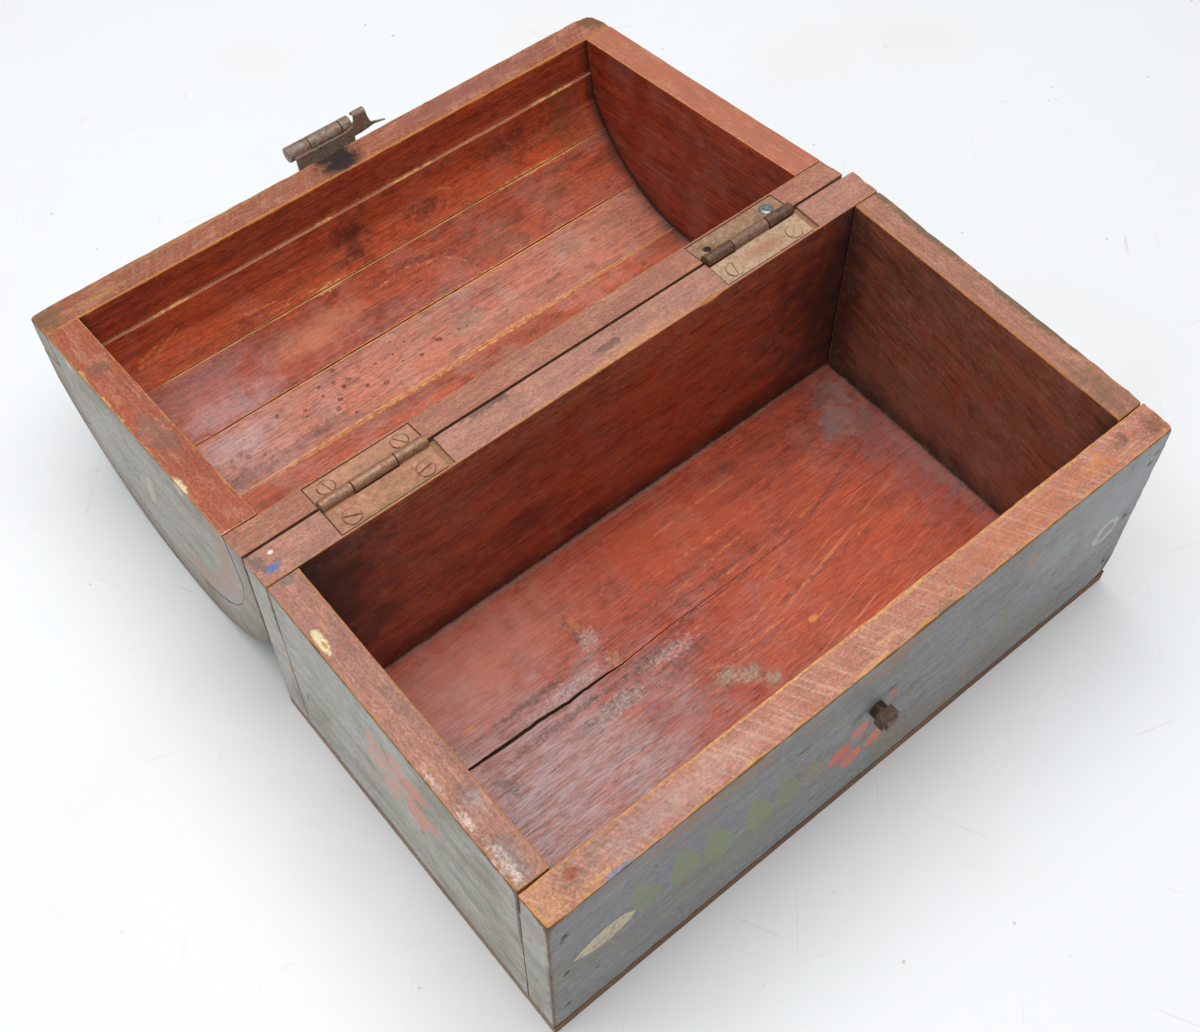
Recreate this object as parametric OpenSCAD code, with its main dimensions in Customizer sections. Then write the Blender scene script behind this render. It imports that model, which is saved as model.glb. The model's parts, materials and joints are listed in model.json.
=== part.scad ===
// Small wooden storage box with a round-top lid, shown open with the lid lying on its dome.
// The base is four boards on a two-board floor. The lid is two rails, two arched ends and a
// half-round of narrow staves. Two iron butt hinges and an iron hasp with its stud join them.
// The origin is the centre of the base's underside. X runs left to right, Y front to back, Z up.
// Lid pieces are drawn in the closed position and then turned open about the hinge line.

/* [Base] */
// Length of the base, left to right
base_l = 244; // [220:1:280]
// Depth of the base, front to back
base_d = 140; // [136:0.5:144]
// Height of the base, table to rim
base_h = 90.8; // [89:0.1:93]
// Thickness of the front and back boards
side_t = 12.2; // [11:0.1:13]
// Thickness of the end boards of the base
end_t = 11; // [9:0.5:14]
// Thickness of the floor boards
floor_t = 5.5; // [4:0.5:7]
// Distance of the floor's seam behind the middle of the box
floor_seam_y = 9.5; // [-20:0.5:20]

/* [Lid] */
// Length of the lid, left to right; its left end is flush with the base
lid_l = 240; // [220:1:244]
// Depth of the lid, front to back, at its rim
lid_d = 138; // [135:0.5:139]
// Thickness of the lid's arched ends
lid_end_t = 12; // [9:0.5:14]
// Thickness of the front rail
front_rail_t = 12.4; // [11:0.1:13]
// Height of the front rail
front_rail_h = 15; // [13:0.1:18]
// Thickness of the back rail at the rim
back_rail_t = 10.7; // [10:0.1:12]
// Height of the back rail
back_rail_h = 34.4; // [32:0.1:36]
// Outside radius of the dome
dome_r = 73; // [71:0.1:74]
// Thickness of the staves
stave_t = 13.8; // [12:0.1:14]
// Height of the dome's centre line above the lid's rim
dome_rise = 7.8; // [6:0.1:9]
// Number of staves
stave_count = 6; // [5:1:8]
// Angles of the first and last stave joints, from the level of the dome's centre at the front
first_joint = 7; // [5:1:10]
last_joint = 150; // [146:1:153]
// How far the first stave's edge stands inside the front rail
stave_edge_in = 1.3; // [0:0.1:2]

/* [Hinges] */
// Length of one hinge
hinge_l = 38.1; // [34:0.1:42]
// Distance of the left hinge's middle left of the box's middle
left_hinge_x = 76.2; // [60:0.1:85]
// Distance of the right hinge's middle right of the box's middle
right_hinge_x = 74; // [60:0.1:85]
// Height of the hinge line above the base's rim
hinge_rise = 0.4; // [0.3:0.05:0.6]
// Distance of the hinge line behind the base
hinge_out = 0.5; // [0.4:0.05:0.8]
// Radius of the knuckles
knuckle_r = 2.1; // [1.8:0.1:2.4]
// Radius of the hinge pins
hinge_pin_r = 1; // [0.8:0.05:1.2]
// Length of the middle knuckle
mid_knuckle_l = 15.6; // [12:0.1:18]
// Thickness of the leaves
leaf_t = 1.1; // [0.9:0.1:1.3]
// Width of the leaf on the base, from the hinge line
base_leaf_w = 11.6; // [11:0.1:12]
// Width of the leaf on the lid, from the hinge line
lid_leaf_w = 9.8; // [9:0.1:10]

/* [Hasp] */
// Height of the stud's middle above the table
stud_z = 57.4; // [50:0.1:62]
// Length that the stud stands out of the front board
stud_out = 7; // [6:0.1:8]
// Outside radius of the hasp's barrel
barrel_r = 2.9; // [2.6:0.1:3.2]
// Thickness of the hasp's sheet iron
sheet_t = 1; // [0.8:0.1:1.2]

/* [Part shown] */
// Node to draw

/* [Hidden] */
$fn = 96;
wood_red = [0.57, 0.27, 0.19];
wood_deep = [0.45, 0.19, 0.14];
old_iron = [0.38, 0.3, 0.25];
grey_steel = [0.55, 0.57, 0.57];

// Gap left between pieces that turn past each other
turn_gap = 0.4;
// Gap between the two rims when the lid is shut, at the hinge side
shut_gap = 2 * hinge_rise;
// Gap between the lying dome and the table
table_gap = 0.2;
// Length of a cutter beyond the face that it opens
over = 2;

front_y = -base_d / 2;
back_y = base_d / 2;
left_x = -base_l / 2;
right_x = base_l / 2;

// The shut lid: its rim, its four sides and the centre of its dome
rim_z = base_h + shut_gap;
lid_back_y = back_y;
lid_front_y = back_y - lid_d;
lid_left_x = left_x;
lid_right_x = left_x + lid_l;
rail_front_in = lid_front_y + front_rail_t;
rail_back_in = lid_back_y - back_rail_t;
dome_y = (rail_front_in + rail_back_in) / 2;
dome_z = rim_z + dome_rise;
dome_in_r = dome_r - stave_t;
stave_step = (last_joint - first_joint) / stave_count;

// The hinge line, and how far past level the lid opens before its dome lies on the table
hinge_y = back_y + hinge_out;
hinge_z = base_h + hinge_rise;
arm_y = hinge_y - dome_y;
arm_z = dome_z - hinge_z;
open_tilt = asin((hinge_z - dome_r - table_gap) / norm([arm_y, arm_z])) - atan(arm_z / arm_y);
// The back rail leans by a little less, so that it stays clear of the base
back_lean = open_tilt - 0.5;

// Hinge leaves: their faces lie just under the plane of the hinge line
leaf_drop = 0.6;
leaf_top = hinge_z - leaf_drop;
pocket_z = leaf_top - leaf_t;
// The pockets are cut longer than the leaves at their right ends
pocket_extra = 2.4;
end_knuckle_l = (hinge_l - mid_knuckle_l) / 2;
running_gap = 0.05;
// Length that a hinge's pin stands out of its barrel, and the room left for it in the wood
pin_proud = 0.2;
pin_room = turn_gap + pin_proud + 0.1;

// Hinge screws: distance from the hinge's middle, and from the hinge line on base and lid
screw_x = 13.2;
base_screw_y = 8.2;
lid_screw_y = 5.6;
screw_head_r = 2.8;
screw_shank_r = 1.4;
screw_cone_h = 1.4;
screw_l = 10;
screw_proud = 0.25;
slot_w = 0.7;
slot_depth = 0.6;
round_head_r = 2.6;
round_head_h = 0.75;
// Length of the cross recess
cross_l = 3;

// Plain nails: their size, and where they stand in the base's corners, the floor and the rails
nail_r = 0.9;
nail_l = 24;
floor_nail_l = 18;
nail_sunk = 0.3;
corner_nail_zs = [18, 46, 76];
floor_nail_xs = [-90, -30, 30, 90];
front_rail_nail_rises = [5, 11];
back_rail_nail_rises = [6, 16, 27];
// Depth of the nails' heads below the dome and the leaning back
nail_inset = 0.9;

// The stud's shank inside the front board
stud_shank_r = 1.6;
stud_shank_l = 8;

// Hasp: the plate's two faces stand off the front rail so that they pass in front of the base
plate_in_y = front_y - 0.6;
plate_out_y = plate_in_y - sheet_t;
plate_edge_z = rim_z - 2.4;
barrel_y = plate_out_y - barrel_r - 0.35;
barrel_z = rim_z - 2.6;
barrel_left = -15.5;
barrel_right = 11;
plate_left = -14.1;
plate_right = 10;
// Heights above the rim: the plate's far edge, and the two bends of its step
plate_top = 17;
step_top = 6.6;
step_foot = 3.4;
// The finger beside the barrel, and the tip of the pointed tail
finger_left = 11.5;
finger_right = 16.6;
finger_drop = 6.6;
finger_curl_r = 1.6;
tail_x = 23.9;
strap_half_w = 6.6;
hasp_pin_r = 1.2;
hasp_nail_xs = [-8, 5];
hasp_nail_rise = 12;
hasp_nail_l = 10;
hasp_nail_head_r = 1.7;
hasp_nail_head_h = 0.8;
// Where the barrel's centre line is when the lid is open
open_turn = -(180 + open_tilt);
open_barrel_y = hinge_y + (barrel_y - hinge_y) * cos(open_turn) - (barrel_z - hinge_z) * sin(open_turn);
open_barrel_z = hinge_z + (barrel_y - hinge_y) * sin(open_turn) + (barrel_z - hinge_z) * cos(open_turn);
slot_drop = barrel_z - stud_z;

// Shapes used by several pieces

// A box between two opposite corners
module block(low, high) {
    translate(low)
        cube(high - low);
}

// A profile drawn in Y and Z, drawn out along X
module along_x(from_x, to_x) {
    translate([from_x, 0, 0])
        rotate([90, 0, 90])
            linear_extrude(to_x - from_x)
                children();
}

// A round bar along X
module bar_x(from_x, to_x, y, z, r) {
    translate([from_x, y, z])
        rotate([0, 90, 0])
            cylinder(h = to_x - from_x, r = r);
}

// A round bar along Y, from the point given towards the back
module bar_y(x, y, z, r, l) {
    translate([x, y, z])
        rotate([-90, 0, 0])
            cylinder(h = l, r = r);
}

// The shut lid turned open about the hinge line
module opened() {
    translate([0, hinge_y, hinge_z])
        rotate([open_turn, 0, 0])
            translate([0, -hinge_y, -hinge_z])
                children();
}

// Nails of the base: three at each end of the front board and of the back board
module base_nail_set() {
    for (x = [left_x + end_t / 2, right_x - end_t / 2])
        for (z = corner_nail_zs) {
            bar_y(x, front_y + nail_sunk, z, nail_r, nail_l);
            bar_y(x, back_y - nail_sunk - nail_l, z, nail_r, nail_l);
        }
}

// Nails driven up through the floor into the front and back boards
module floor_nail_set() {
    for (x = floor_nail_xs)
        for (y = [front_y + side_t / 2, back_y - side_t / 2])
            translate([x, y, nail_sunk])
                cylinder(h = floor_nail_l, r = nail_r);
}

// Nails of the lid: through the rails and through every stave into the arched ends
module lid_nail_set() {
    for (x = [lid_left_x + lid_end_t / 2, lid_right_x - lid_end_t / 2]) {
        for (rise = front_rail_nail_rises)
            bar_y(x, lid_front_y + nail_sunk, rim_z + rise, nail_r, nail_l);
        for (rise = back_rail_nail_rises)
            bar_y(x, lid_back_y - rise * tan(back_lean) - nail_inset - nail_l, rim_z + rise, nail_r, nail_l);
        for (i = [1 : stave_count])
            translate([x, dome_y, dome_z])
                rotate([-(first_joint + (i - 0.5) * stave_step), 0, 0])
                    translate([0, nail_inset - dome_r, 0])
                        rotate([-90, 0, 0])
                            cylinder(h = nail_l, r = nail_r);
    }
}

// Pocket for one base leaf, and the channel for the barrel
module base_hinge_pocket(hinge_x) {
    block([hinge_x - hinge_l / 2 - turn_gap, hinge_y - base_leaf_w - turn_gap, pocket_z],
        [hinge_x + hinge_l / 2 + pocket_extra, hinge_y + over, hinge_z + over]);
    bar_x(hinge_x - hinge_l / 2 - pin_room, hinge_x + hinge_l / 2 + pin_room,
        hinge_y, hinge_z, knuckle_r + turn_gap);
    for (side = [-1, 1])
        translate([hinge_x + side * screw_x, hinge_y - base_screw_y, leaf_top + screw_proud])
            screw_body();
}

// Pocket for one lid leaf, seen in the shut lid
module lid_hinge_pocket(hinge_x) {
    block([hinge_x - hinge_l / 2 - turn_gap, hinge_y - lid_leaf_w - turn_gap, hinge_z - over],
        [hinge_x + hinge_l / 2 + turn_gap, hinge_y + over, hinge_z + leaf_drop + leaf_t]);
    bar_x(hinge_x - hinge_l / 2 - pin_room, hinge_x + hinge_l / 2 + pin_room,
        hinge_y, hinge_z, knuckle_r + turn_gap);
    for (side = [-1, 1])
        translate([hinge_x + side * screw_x, hinge_y - lid_screw_y, hinge_z + leaf_drop - screw_proud])
            mirror([0, 0, 1])
                screw_body();
}

// A countersunk screw without its slot, its head's face at the origin
module screw_body() {
    translate([0, 0, -screw_cone_h])
        cylinder(h = screw_cone_h, r1 = screw_shank_r, r2 = screw_head_r);
    translate([0, 0, -screw_l])
        cylinder(h = screw_l - screw_cone_h, r = screw_shank_r);
}

// The same screw with its slot, turned as it was left
module slotted_screw(turn) {
    difference() {
        screw_body();
        rotate([0, 0, turn])
            translate([-screw_head_r - over, -slot_w / 2, -slot_depth])
                cube([2 * (screw_head_r + over), slot_w, over]);
    }
}

// One leaf of a hinge as drawn for the base: a plate below the hinge line's plane.
// The owner of the outer knuckles leaves the middle free, and the other way round.
module leaf(hinge_x, width, screw_y, outer) {
    low_x = hinge_x - hinge_l / 2;
    high_x = hinge_x + hinge_l / 2;
    mid_low = hinge_x - mid_knuckle_l / 2;
    mid_high = hinge_x + mid_knuckle_l / 2;
    difference() {
        union() {
            difference() {
                block([low_x, hinge_y - width, pocket_z], [high_x, hinge_y, leaf_top]);
                if (outer)
                    bar_x(mid_low - turn_gap / 2, mid_high + turn_gap / 2,
                        hinge_y, hinge_z, knuckle_r + turn_gap);
                else {
                    bar_x(low_x - 1, mid_low + turn_gap / 2, hinge_y, hinge_z, knuckle_r + turn_gap);
                    bar_x(mid_high - turn_gap / 2, high_x + 1, hinge_y, hinge_z, knuckle_r + turn_gap);
                }
            }
            if (outer) {
                bar_x(low_x, mid_low - turn_gap / 2, hinge_y, hinge_z, knuckle_r);
                bar_x(mid_high + turn_gap / 2, high_x, hinge_y, hinge_z, knuckle_r);
            }
            else
                bar_x(mid_low + turn_gap / 2, mid_high - turn_gap / 2, hinge_y, hinge_z, knuckle_r);
        }
        bar_x(low_x - 1, high_x + 1, hinge_y, hinge_z, hinge_pin_r + running_gap);
        for (side = [-1, 1])
            translate([hinge_x + side * screw_x, hinge_y - screw_y, leaf_top + screw_proud])
                screw_body();
    }
}

// The same leaf turned over the hinge line's plane, as it lies in the shut lid
module lid_leaf(hinge_x, outer) {
    translate([0, 0, 2 * hinge_z])
        mirror([0, 0, 1])
            leaf(hinge_x, lid_leaf_w, lid_screw_y, outer);
}

module hinge_pin(hinge_x) {
    bar_x(hinge_x - hinge_l / 2 - pin_proud, hinge_x + hinge_l / 2 + pin_proud,
        hinge_y, hinge_z, hinge_pin_r);
}

// Lid profiles in Y and Z, for the shut lid

module lid_outline() {
    tall = 100;
    intersection() {
        translate([dome_y, dome_z])
            circle(r = dome_r);
        polygon([
            [lid_front_y, rim_z],
            [lid_back_y, rim_z],
            [lid_back_y - tall * tan(back_lean), rim_z + tall],
            [lid_front_y, rim_z + tall]
        ]);
    }
}

module front_rail_profile() {
    translate([lid_front_y, rim_z])
        square([front_rail_t, front_rail_h]);
}

// The back rail: straight inside at first, and from curve_z on planed to the dome's round
module back_rail_profile() {
    top_z = rim_z + back_rail_h;
    curve_z = dome_z + sqrt(pow(dome_in_r, 2) - pow(rail_back_in - dome_y, 2));
    difference() {
        polygon([
            [rail_back_in, rim_z],
            [lid_back_y, rim_z],
            [lid_back_y - back_rail_h * tan(back_lean), top_z],
            [dome_y, top_z],
            [dome_y, curve_z],
            [rail_back_in, curve_z]
        ]);
        intersection() {
            dome_inside();
            translate([lid_front_y, curve_z])
                square([lid_d, dome_r]);
        }
    }
}

// The round that the staves are planed to inside. The first stave's edge is left flat and stands
// a little inside the front rail.
module dome_inside() {
    intersection() {
        translate([dome_y, dome_z])
            circle(r = dome_in_r);
        translate([rail_front_in + stave_edge_in, rim_z])
            square([lid_d, dome_r * 2]);
    }
}

// What the staves and rails enclose
module lid_end_profile() {
    difference() {
        union() {
            translate([rail_front_in, rim_z])
                square([rail_back_in - rail_front_in, front_rail_h]);
            intersection() {
                dome_inside();
                translate([lid_front_y, rim_z + front_rail_h])
                    square([lid_d, dome_r * 2]);
            }
        }
        back_rail_profile();
    }
}

// Stave number i, counted from the front rail. Its sides point at the dome's centre, but the
// first and last staves sit flat on the rails.
module stave_profile(i) {
    first = i == 1;
    last = i == stave_count;
    low = first ? -30 : first_joint + (i - 1) * stave_step;
    high = last ? 210 : first_joint + i * stave_step;
    reach = 300;
    intersection() {
        difference() {
            lid_outline();
            dome_inside();
        }
        polygon([
            [dome_y, dome_z],
            [dome_y - reach * cos(low), dome_z + reach * sin(low)],
            [dome_y - reach * cos(high), dome_z + reach * sin(high)]
        ]);
        if (first)
            translate([lid_front_y - 1, rim_z + front_rail_h])
                square([lid_d, dome_r * 2]);
        if (last)
            translate([lid_front_y - 1, rim_z + back_rail_h])
                square([lid_d + 2, dome_r * 2]);
    }
}

// Pieces of the base

module front_board() {
    color(wood_red)
        difference() {
            block([left_x, front_y, floor_t], [right_x, front_y + side_t, base_h]);
            base_nail_set();
            floor_nail_set();
            bar_y(0, front_y - over, stud_z, stud_shank_r, stud_shank_l + over);
        }
}

module back_board() {
    color(wood_deep)
        difference() {
            block([left_x, back_y - side_t, floor_t], [right_x, back_y, base_h]);
            base_nail_set();
            floor_nail_set();
            base_hinge_pocket(-left_hinge_x);
            base_hinge_pocket(right_hinge_x);
        }
}

// The end boards stand between the front and back boards
module end_board(from_x) {
    color(wood_deep)
        difference() {
            block([from_x, front_y + side_t, floor_t], [from_x + end_t, back_y - side_t, base_h]);
            base_nail_set();
        }
}

module front_floor_board() {
    color(wood_red)
        difference() {
            block([left_x, front_y, 0], [right_x, floor_seam_y, floor_t]);
            floor_nail_set();
        }
}

module back_floor_board() {
    color(wood_red)
        difference() {
            block([left_x, floor_seam_y, 0], [right_x, back_y, floor_t]);
            floor_nail_set();
        }
}

module base_nails() {
    color(old_iron)
        base_nail_set();
}

module floor_nails() {
    color(old_iron)
        floor_nail_set();
}

// Pieces of the lid

module lid_front_rail() {
    color(wood_red)
        opened()
            difference() {
                along_x(lid_left_x, lid_right_x)
                    front_rail_profile();
                lid_nail_set();
                hasp_nail_set();
            }
}

module lid_back_rail() {
    color(wood_red)
        opened()
            difference() {
                along_x(lid_left_x, lid_right_x)
                    back_rail_profile();
                lid_nail_set();
                lid_hinge_pocket(-left_hinge_x);
                lid_hinge_pocket(right_hinge_x);
            }
}

module lid_end(from_x) {
    color(wood_deep)
        opened()
            difference() {
                along_x(from_x, from_x + lid_end_t)
                    lid_end_profile();
                lid_nail_set();
            }
}

module stave(i) {
    color(wood_red)
        opened()
            difference() {
                along_x(lid_left_x, lid_right_x)
                    stave_profile(i);
                lid_nail_set();
            }
}

module lid_nails() {
    color(old_iron)
        opened()
            lid_nail_set();
}

// Hinges: the base leaf has the outer knuckles on the left hinge, the lid leaf on the right one

module left_hinge_base_leaf() {
    color(old_iron)
        leaf(-left_hinge_x, base_leaf_w, base_screw_y, true);
}

module left_hinge_lid_leaf() {
    color(old_iron)
        opened()
            lid_leaf(-left_hinge_x, false);
}

module left_hinge_pin() {
    color(old_iron)
        hinge_pin(-left_hinge_x);
}

module right_hinge_base_leaf() {
    color(old_iron)
        leaf(right_hinge_x, base_leaf_w, base_screw_y, false);
}

module right_hinge_lid_leaf() {
    color(old_iron)
        opened()
            lid_leaf(right_hinge_x, true);
}

module right_hinge_pin() {
    color(old_iron)
        hinge_pin(right_hinge_x);
}

module base_hinge_screws() {
    turns = [-25, 10, 75, 40];
    centres = [-left_hinge_x - screw_x, -left_hinge_x + screw_x, right_hinge_x - screw_x, right_hinge_x + screw_x];
    color(old_iron)
        for (i = [0 : 3])
            translate([centres[i], hinge_y - base_screw_y, leaf_top + screw_proud])
                slotted_screw(turns[i]);
}

// Only the left hinge still has both of its old screws in the lid
module lid_hinge_screws() {
    turns = [80, 60];
    centres = [-left_hinge_x - screw_x, -left_hinge_x + screw_x];
    color(old_iron)
        opened()
            for (i = [0 : 1])
                translate([centres[i], hinge_y - lid_screw_y, hinge_z + leaf_drop - screw_proud])
                    mirror([0, 0, 1])
                        slotted_screw(turns[i]);
}

// A newer screw with a raised head and a cross recess, at the right end of the right hinge
module round_head_screw() {
    rise = round_head_h - screw_proud;
    color(grey_steel)
        opened()
            translate([right_hinge_x + screw_x, hinge_y - lid_screw_y, hinge_z + leaf_drop - screw_proud])
                mirror([0, 0, 1])
                    difference() {
                        union() {
                            intersection() {
                                screw_body();
                                translate([0, 0, -screw_l])
                                    cylinder(h = screw_l, r = round_head_r);
                            }
                            cylinder(h = rise, r1 = round_head_r, r2 = round_head_r - 0.7);
                        }
                        for (turn = [20, 110])
                            rotate([0, 0, turn])
                                translate([-cross_l / 2, -slot_w / 2, rise - 0.5])
                                    cube([cross_l, slot_w, over]);
                    }
}

// Hasp

// Two nails that hold the plate to the front rail
module hasp_nail_set() {
    for (x = hasp_nail_xs) {
        bar_y(x, lid_front_y - sheet_t - hasp_nail_head_h, rim_z + hasp_nail_rise,
            hasp_nail_head_r, hasp_nail_head_h);
        bar_y(x, lid_front_y - sheet_t, rim_z + hasp_nail_rise, nail_r, hasp_nail_l);
    }
}

// Side of the plate: nailed flat on the rail, then stepped forward past the base's front
module plate_profile() {
    polygon([
        [lid_front_y, rim_z + plate_top],
        [lid_front_y - sheet_t, rim_z + plate_top],
        [lid_front_y - sheet_t, rim_z + step_top],
        [plate_out_y, rim_z + step_foot],
        [plate_out_y, plate_edge_z],
        [plate_in_y, plate_edge_z],
        [plate_in_y, rim_z + step_foot + 0.4],
        [lid_front_y, rim_z + step_top + 0.4]
    ]);
}

// The plate's finger and pointed tail, right of the barrel, in X and Z measured up from the rim
module plate_finger() {
    translate([0, plate_in_y, rim_z])
        rotate([90, 0, 0])
            linear_extrude(sheet_t)
                polygon([
                    [6, step_foot], [plate_right, step_foot], [10.2, 0.7], [13.5, 0.6], [18.8, -0.2],
                    [tail_x, 0.6], [20.4, -0.5], [18, -1.3], [17.3, -3], [16.8, -5],
                    [finger_right, -finger_drop], [finger_left, -finger_drop],
                    [11.2, -5], [plate_right, -3.4], [8, -2.6], [6, -2.4]
                ]);
    // The finger's tip curls outward
    along_x(finger_left, finger_right)
        intersection() {
            difference() {
                translate([plate_in_y - finger_curl_r, rim_z - finger_drop])
                    circle(r = finger_curl_r);
                translate([plate_in_y - finger_curl_r, rim_z - finger_drop])
                    circle(r = finger_curl_r - sheet_t);
            }
            translate([plate_in_y - 2 * finger_curl_r - over, rim_z - finger_drop - 2 * finger_curl_r])
                square([2 * (finger_curl_r + over), 2 * finger_curl_r]);
        }
}

// A fixed knuckle and the sheet that joins it to the plate's edge
module fixed_knuckle(from_x, to_x) {
    bar_x(from_x, to_x, barrel_y, barrel_z, barrel_r);
    block([max(from_x, plate_left), barrel_y, plate_edge_z],
        [min(to_x, plate_right), plate_out_y, plate_edge_z + sheet_t]);
}

module hasp_plate() {
    color(old_iron)
        opened()
            difference() {
                union() {
                    along_x(plate_left, plate_right)
                        plate_profile();
                    plate_finger();
                    fixed_knuckle(barrel_left, -strap_half_w - turn_gap);
                    fixed_knuckle(strap_half_w + turn_gap, barrel_right);
                }
                bar_x(barrel_left - 1, barrel_right + 1, barrel_y, barrel_z, hasp_pin_r + running_gap);
                hasp_nail_set();
            }
}

module hasp_nails() {
    color(old_iron)
        opened()
            hasp_nail_set();
}

module hasp_pin() {
    color(old_iron)
        opened()
            bar_x(barrel_left - 0.2, barrel_right + 0.2, barrel_y, barrel_z, hasp_pin_r);
}

// The strap hangs straight down from the barrel, in the open lid as in the shut one
module hasp_strap() {
    eye_reach = 9;
    tip = slot_drop + eye_reach;
    eye_half_w = 6;
    tip_half_w = 3;
    slot_half_w = 3.8;
    slot_half_h = 4;
    curl_r = 2;
    color(old_iron)
        translate([0, open_barrel_y, open_barrel_z])
            difference() {
                union() {
                    bar_x(-strap_half_w, strap_half_w, 0, 0, barrel_r);
                    translate([0, sheet_t / 2, 0])
                        rotate([90, 0, 0])
                            linear_extrude(sheet_t)
                                polygon([
                                    [-strap_half_w, 0], [-strap_half_w, -5],
                                    [-eye_half_w, eye_reach - slot_drop],
                                    [-eye_half_w, -eye_reach / 2 - slot_drop],
                                    [-tip_half_w, -tip], [tip_half_w, -tip],
                                    [eye_half_w, -eye_reach / 2 - slot_drop],
                                    [eye_half_w, eye_reach - slot_drop],
                                    [strap_half_w, -5], [strap_half_w, 0]
                                ]);
                    // The end curls forward for a finger
                    along_x(-tip_half_w, tip_half_w)
                        intersection() {
                            difference() {
                                translate([sheet_t / 2 - curl_r, -tip])
                                    circle(r = curl_r);
                                translate([sheet_t / 2 - curl_r, -tip])
                                    circle(r = curl_r - sheet_t);
                            }
                            translate([-3 * curl_r, -tip - 2 * curl_r])
                                square([5 * curl_r, 2 * curl_r]);
                        }
                }
                bar_x(-strap_half_w - 1, strap_half_w + 1, 0, 0, hasp_pin_r + running_gap);
                block([-slot_half_w, -over, -slot_drop - slot_half_h],
                    [slot_half_w, over, -slot_drop + slot_half_h]);
            }
}

// Square iron stud on a thick round neck, driven into the front board
module hasp_stud() {
    neck_l = 2.6;
    neck_r = 2.8;
    head_w = 6.2;
    head_h = 5.2;
    // The worn outer end of the head is a little smaller
    cap_t = 0.9;
    cap_in = 0.8;
    color(old_iron) {
        bar_y(0, front_y - neck_l, stud_z, neck_r, neck_l);
        bar_y(0, front_y, stud_z, stud_shank_r, stud_shank_l);
        block([-head_w / 2, front_y - stud_out + cap_t, stud_z - head_h / 2],
            [head_w / 2, front_y - neck_l, stud_z + head_h / 2]);
        block([-head_w / 2 + cap_in, front_y - stud_out, stud_z - head_h / 2 + cap_in],
            [head_w / 2 - cap_in, front_y - stud_out + cap_t, stud_z + head_h / 2 - cap_in]);
    }
}

front_board();
back_board();
end_board(left_x);  // left_end_board
end_board(right_x - end_t);  // right_end_board
front_floor_board();
back_floor_board();
base_nails();
floor_nails();
lid_front_rail();
lid_back_rail();
lid_end(lid_left_x);  // lid_left_end
lid_end(lid_right_x - lid_end_t);  // lid_right_end
stave(1);  // stave_1
stave(2);  // stave_2
stave(3);  // stave_3
stave(4);  // stave_4
stave(5);  // stave_5
stave(6);  // stave_6
lid_nails();
left_hinge_base_leaf();
left_hinge_lid_leaf();
left_hinge_pin();
right_hinge_base_leaf();
right_hinge_lid_leaf();
right_hinge_pin();
base_hinge_screws();
lid_hinge_screws();
round_head_screw();
hasp_plate();
hasp_nails();
hasp_pin();
hasp_strap();
hasp_stud();
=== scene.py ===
import itertools
import json
import math

import bmesh
import bpy
import numpy as np
from mathutils import Matrix, Vector


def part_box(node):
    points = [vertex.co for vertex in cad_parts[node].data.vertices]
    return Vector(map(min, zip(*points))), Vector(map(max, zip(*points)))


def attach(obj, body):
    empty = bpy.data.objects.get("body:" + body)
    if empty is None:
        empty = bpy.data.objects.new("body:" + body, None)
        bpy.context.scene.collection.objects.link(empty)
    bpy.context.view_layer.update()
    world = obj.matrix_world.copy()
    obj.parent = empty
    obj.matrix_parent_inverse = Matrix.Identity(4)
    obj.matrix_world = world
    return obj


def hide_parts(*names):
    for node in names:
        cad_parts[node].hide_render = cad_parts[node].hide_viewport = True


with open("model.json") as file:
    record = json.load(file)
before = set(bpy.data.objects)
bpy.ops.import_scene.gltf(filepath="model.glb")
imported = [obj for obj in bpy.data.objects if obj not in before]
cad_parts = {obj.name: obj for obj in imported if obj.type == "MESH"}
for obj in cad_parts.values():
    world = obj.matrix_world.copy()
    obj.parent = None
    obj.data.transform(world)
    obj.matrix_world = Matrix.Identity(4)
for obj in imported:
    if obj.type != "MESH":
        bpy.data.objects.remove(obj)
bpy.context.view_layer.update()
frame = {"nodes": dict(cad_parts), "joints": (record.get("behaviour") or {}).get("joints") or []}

# Lengths are in millimetres and become metres when a mesh is made. X runs left to right, Y front
# to back, Z up. Lid pieces are shaped as on the shut box and then turned open about the hinges.

# Floor boards
# Two sawn planks nailed up under the walls. Inside they are brush-painted brick red, outside their
# edges show as a brown strip, and the seam between them has opened into a crack at the left.


def smooth_noise(points, size, seed):
    """Random heights from 0 to 1 on a lattice SIZE wide, blended smoothly between its corners."""
    cell = points / size + seed * 19.7
    corner = np.floor(cell).astype(np.int64)
    part = cell - corner
    part = part * part * (3 - 2 * part)
    total = np.zeros(len(points))
    for step in itertools.product((0, 1), repeat=3):
        at = corner + step
        mixed = (at[:, 0] * 73856093) ^ (at[:, 1] * 19349663) ^ (at[:, 2] * 83492791)
        mixed = ((mixed ^ (mixed >> 13)) * 1274126177) & 0xFFFFFFFF
        value = ((mixed ^ (mixed >> 16)) & 0xFFFF) / 65535
        weight = np.where(step, part, 1 - part).prod(axis=1)
        total += weight * value
    return total


def board_lines(length, step, extra):
    """Places along one side of a board: close together near both ends, where edges wear, and about
    STEP apart between them, with the EXTRA places added."""
    near_end = np.array([0, 0.12, 0.3, 0.6, 1.0, 1.6, 2.5, 3.8])
    near_end = near_end[near_end < length / 2 - 0.2]
    last = near_end[-1]
    count = max(1, round((length - 2 * last) / step))
    between = np.linspace(last, length - last, count + 1)[1:-1]
    return np.unique(np.round(np.concatenate([near_end, between, length - near_end, extra]), 4))


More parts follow.
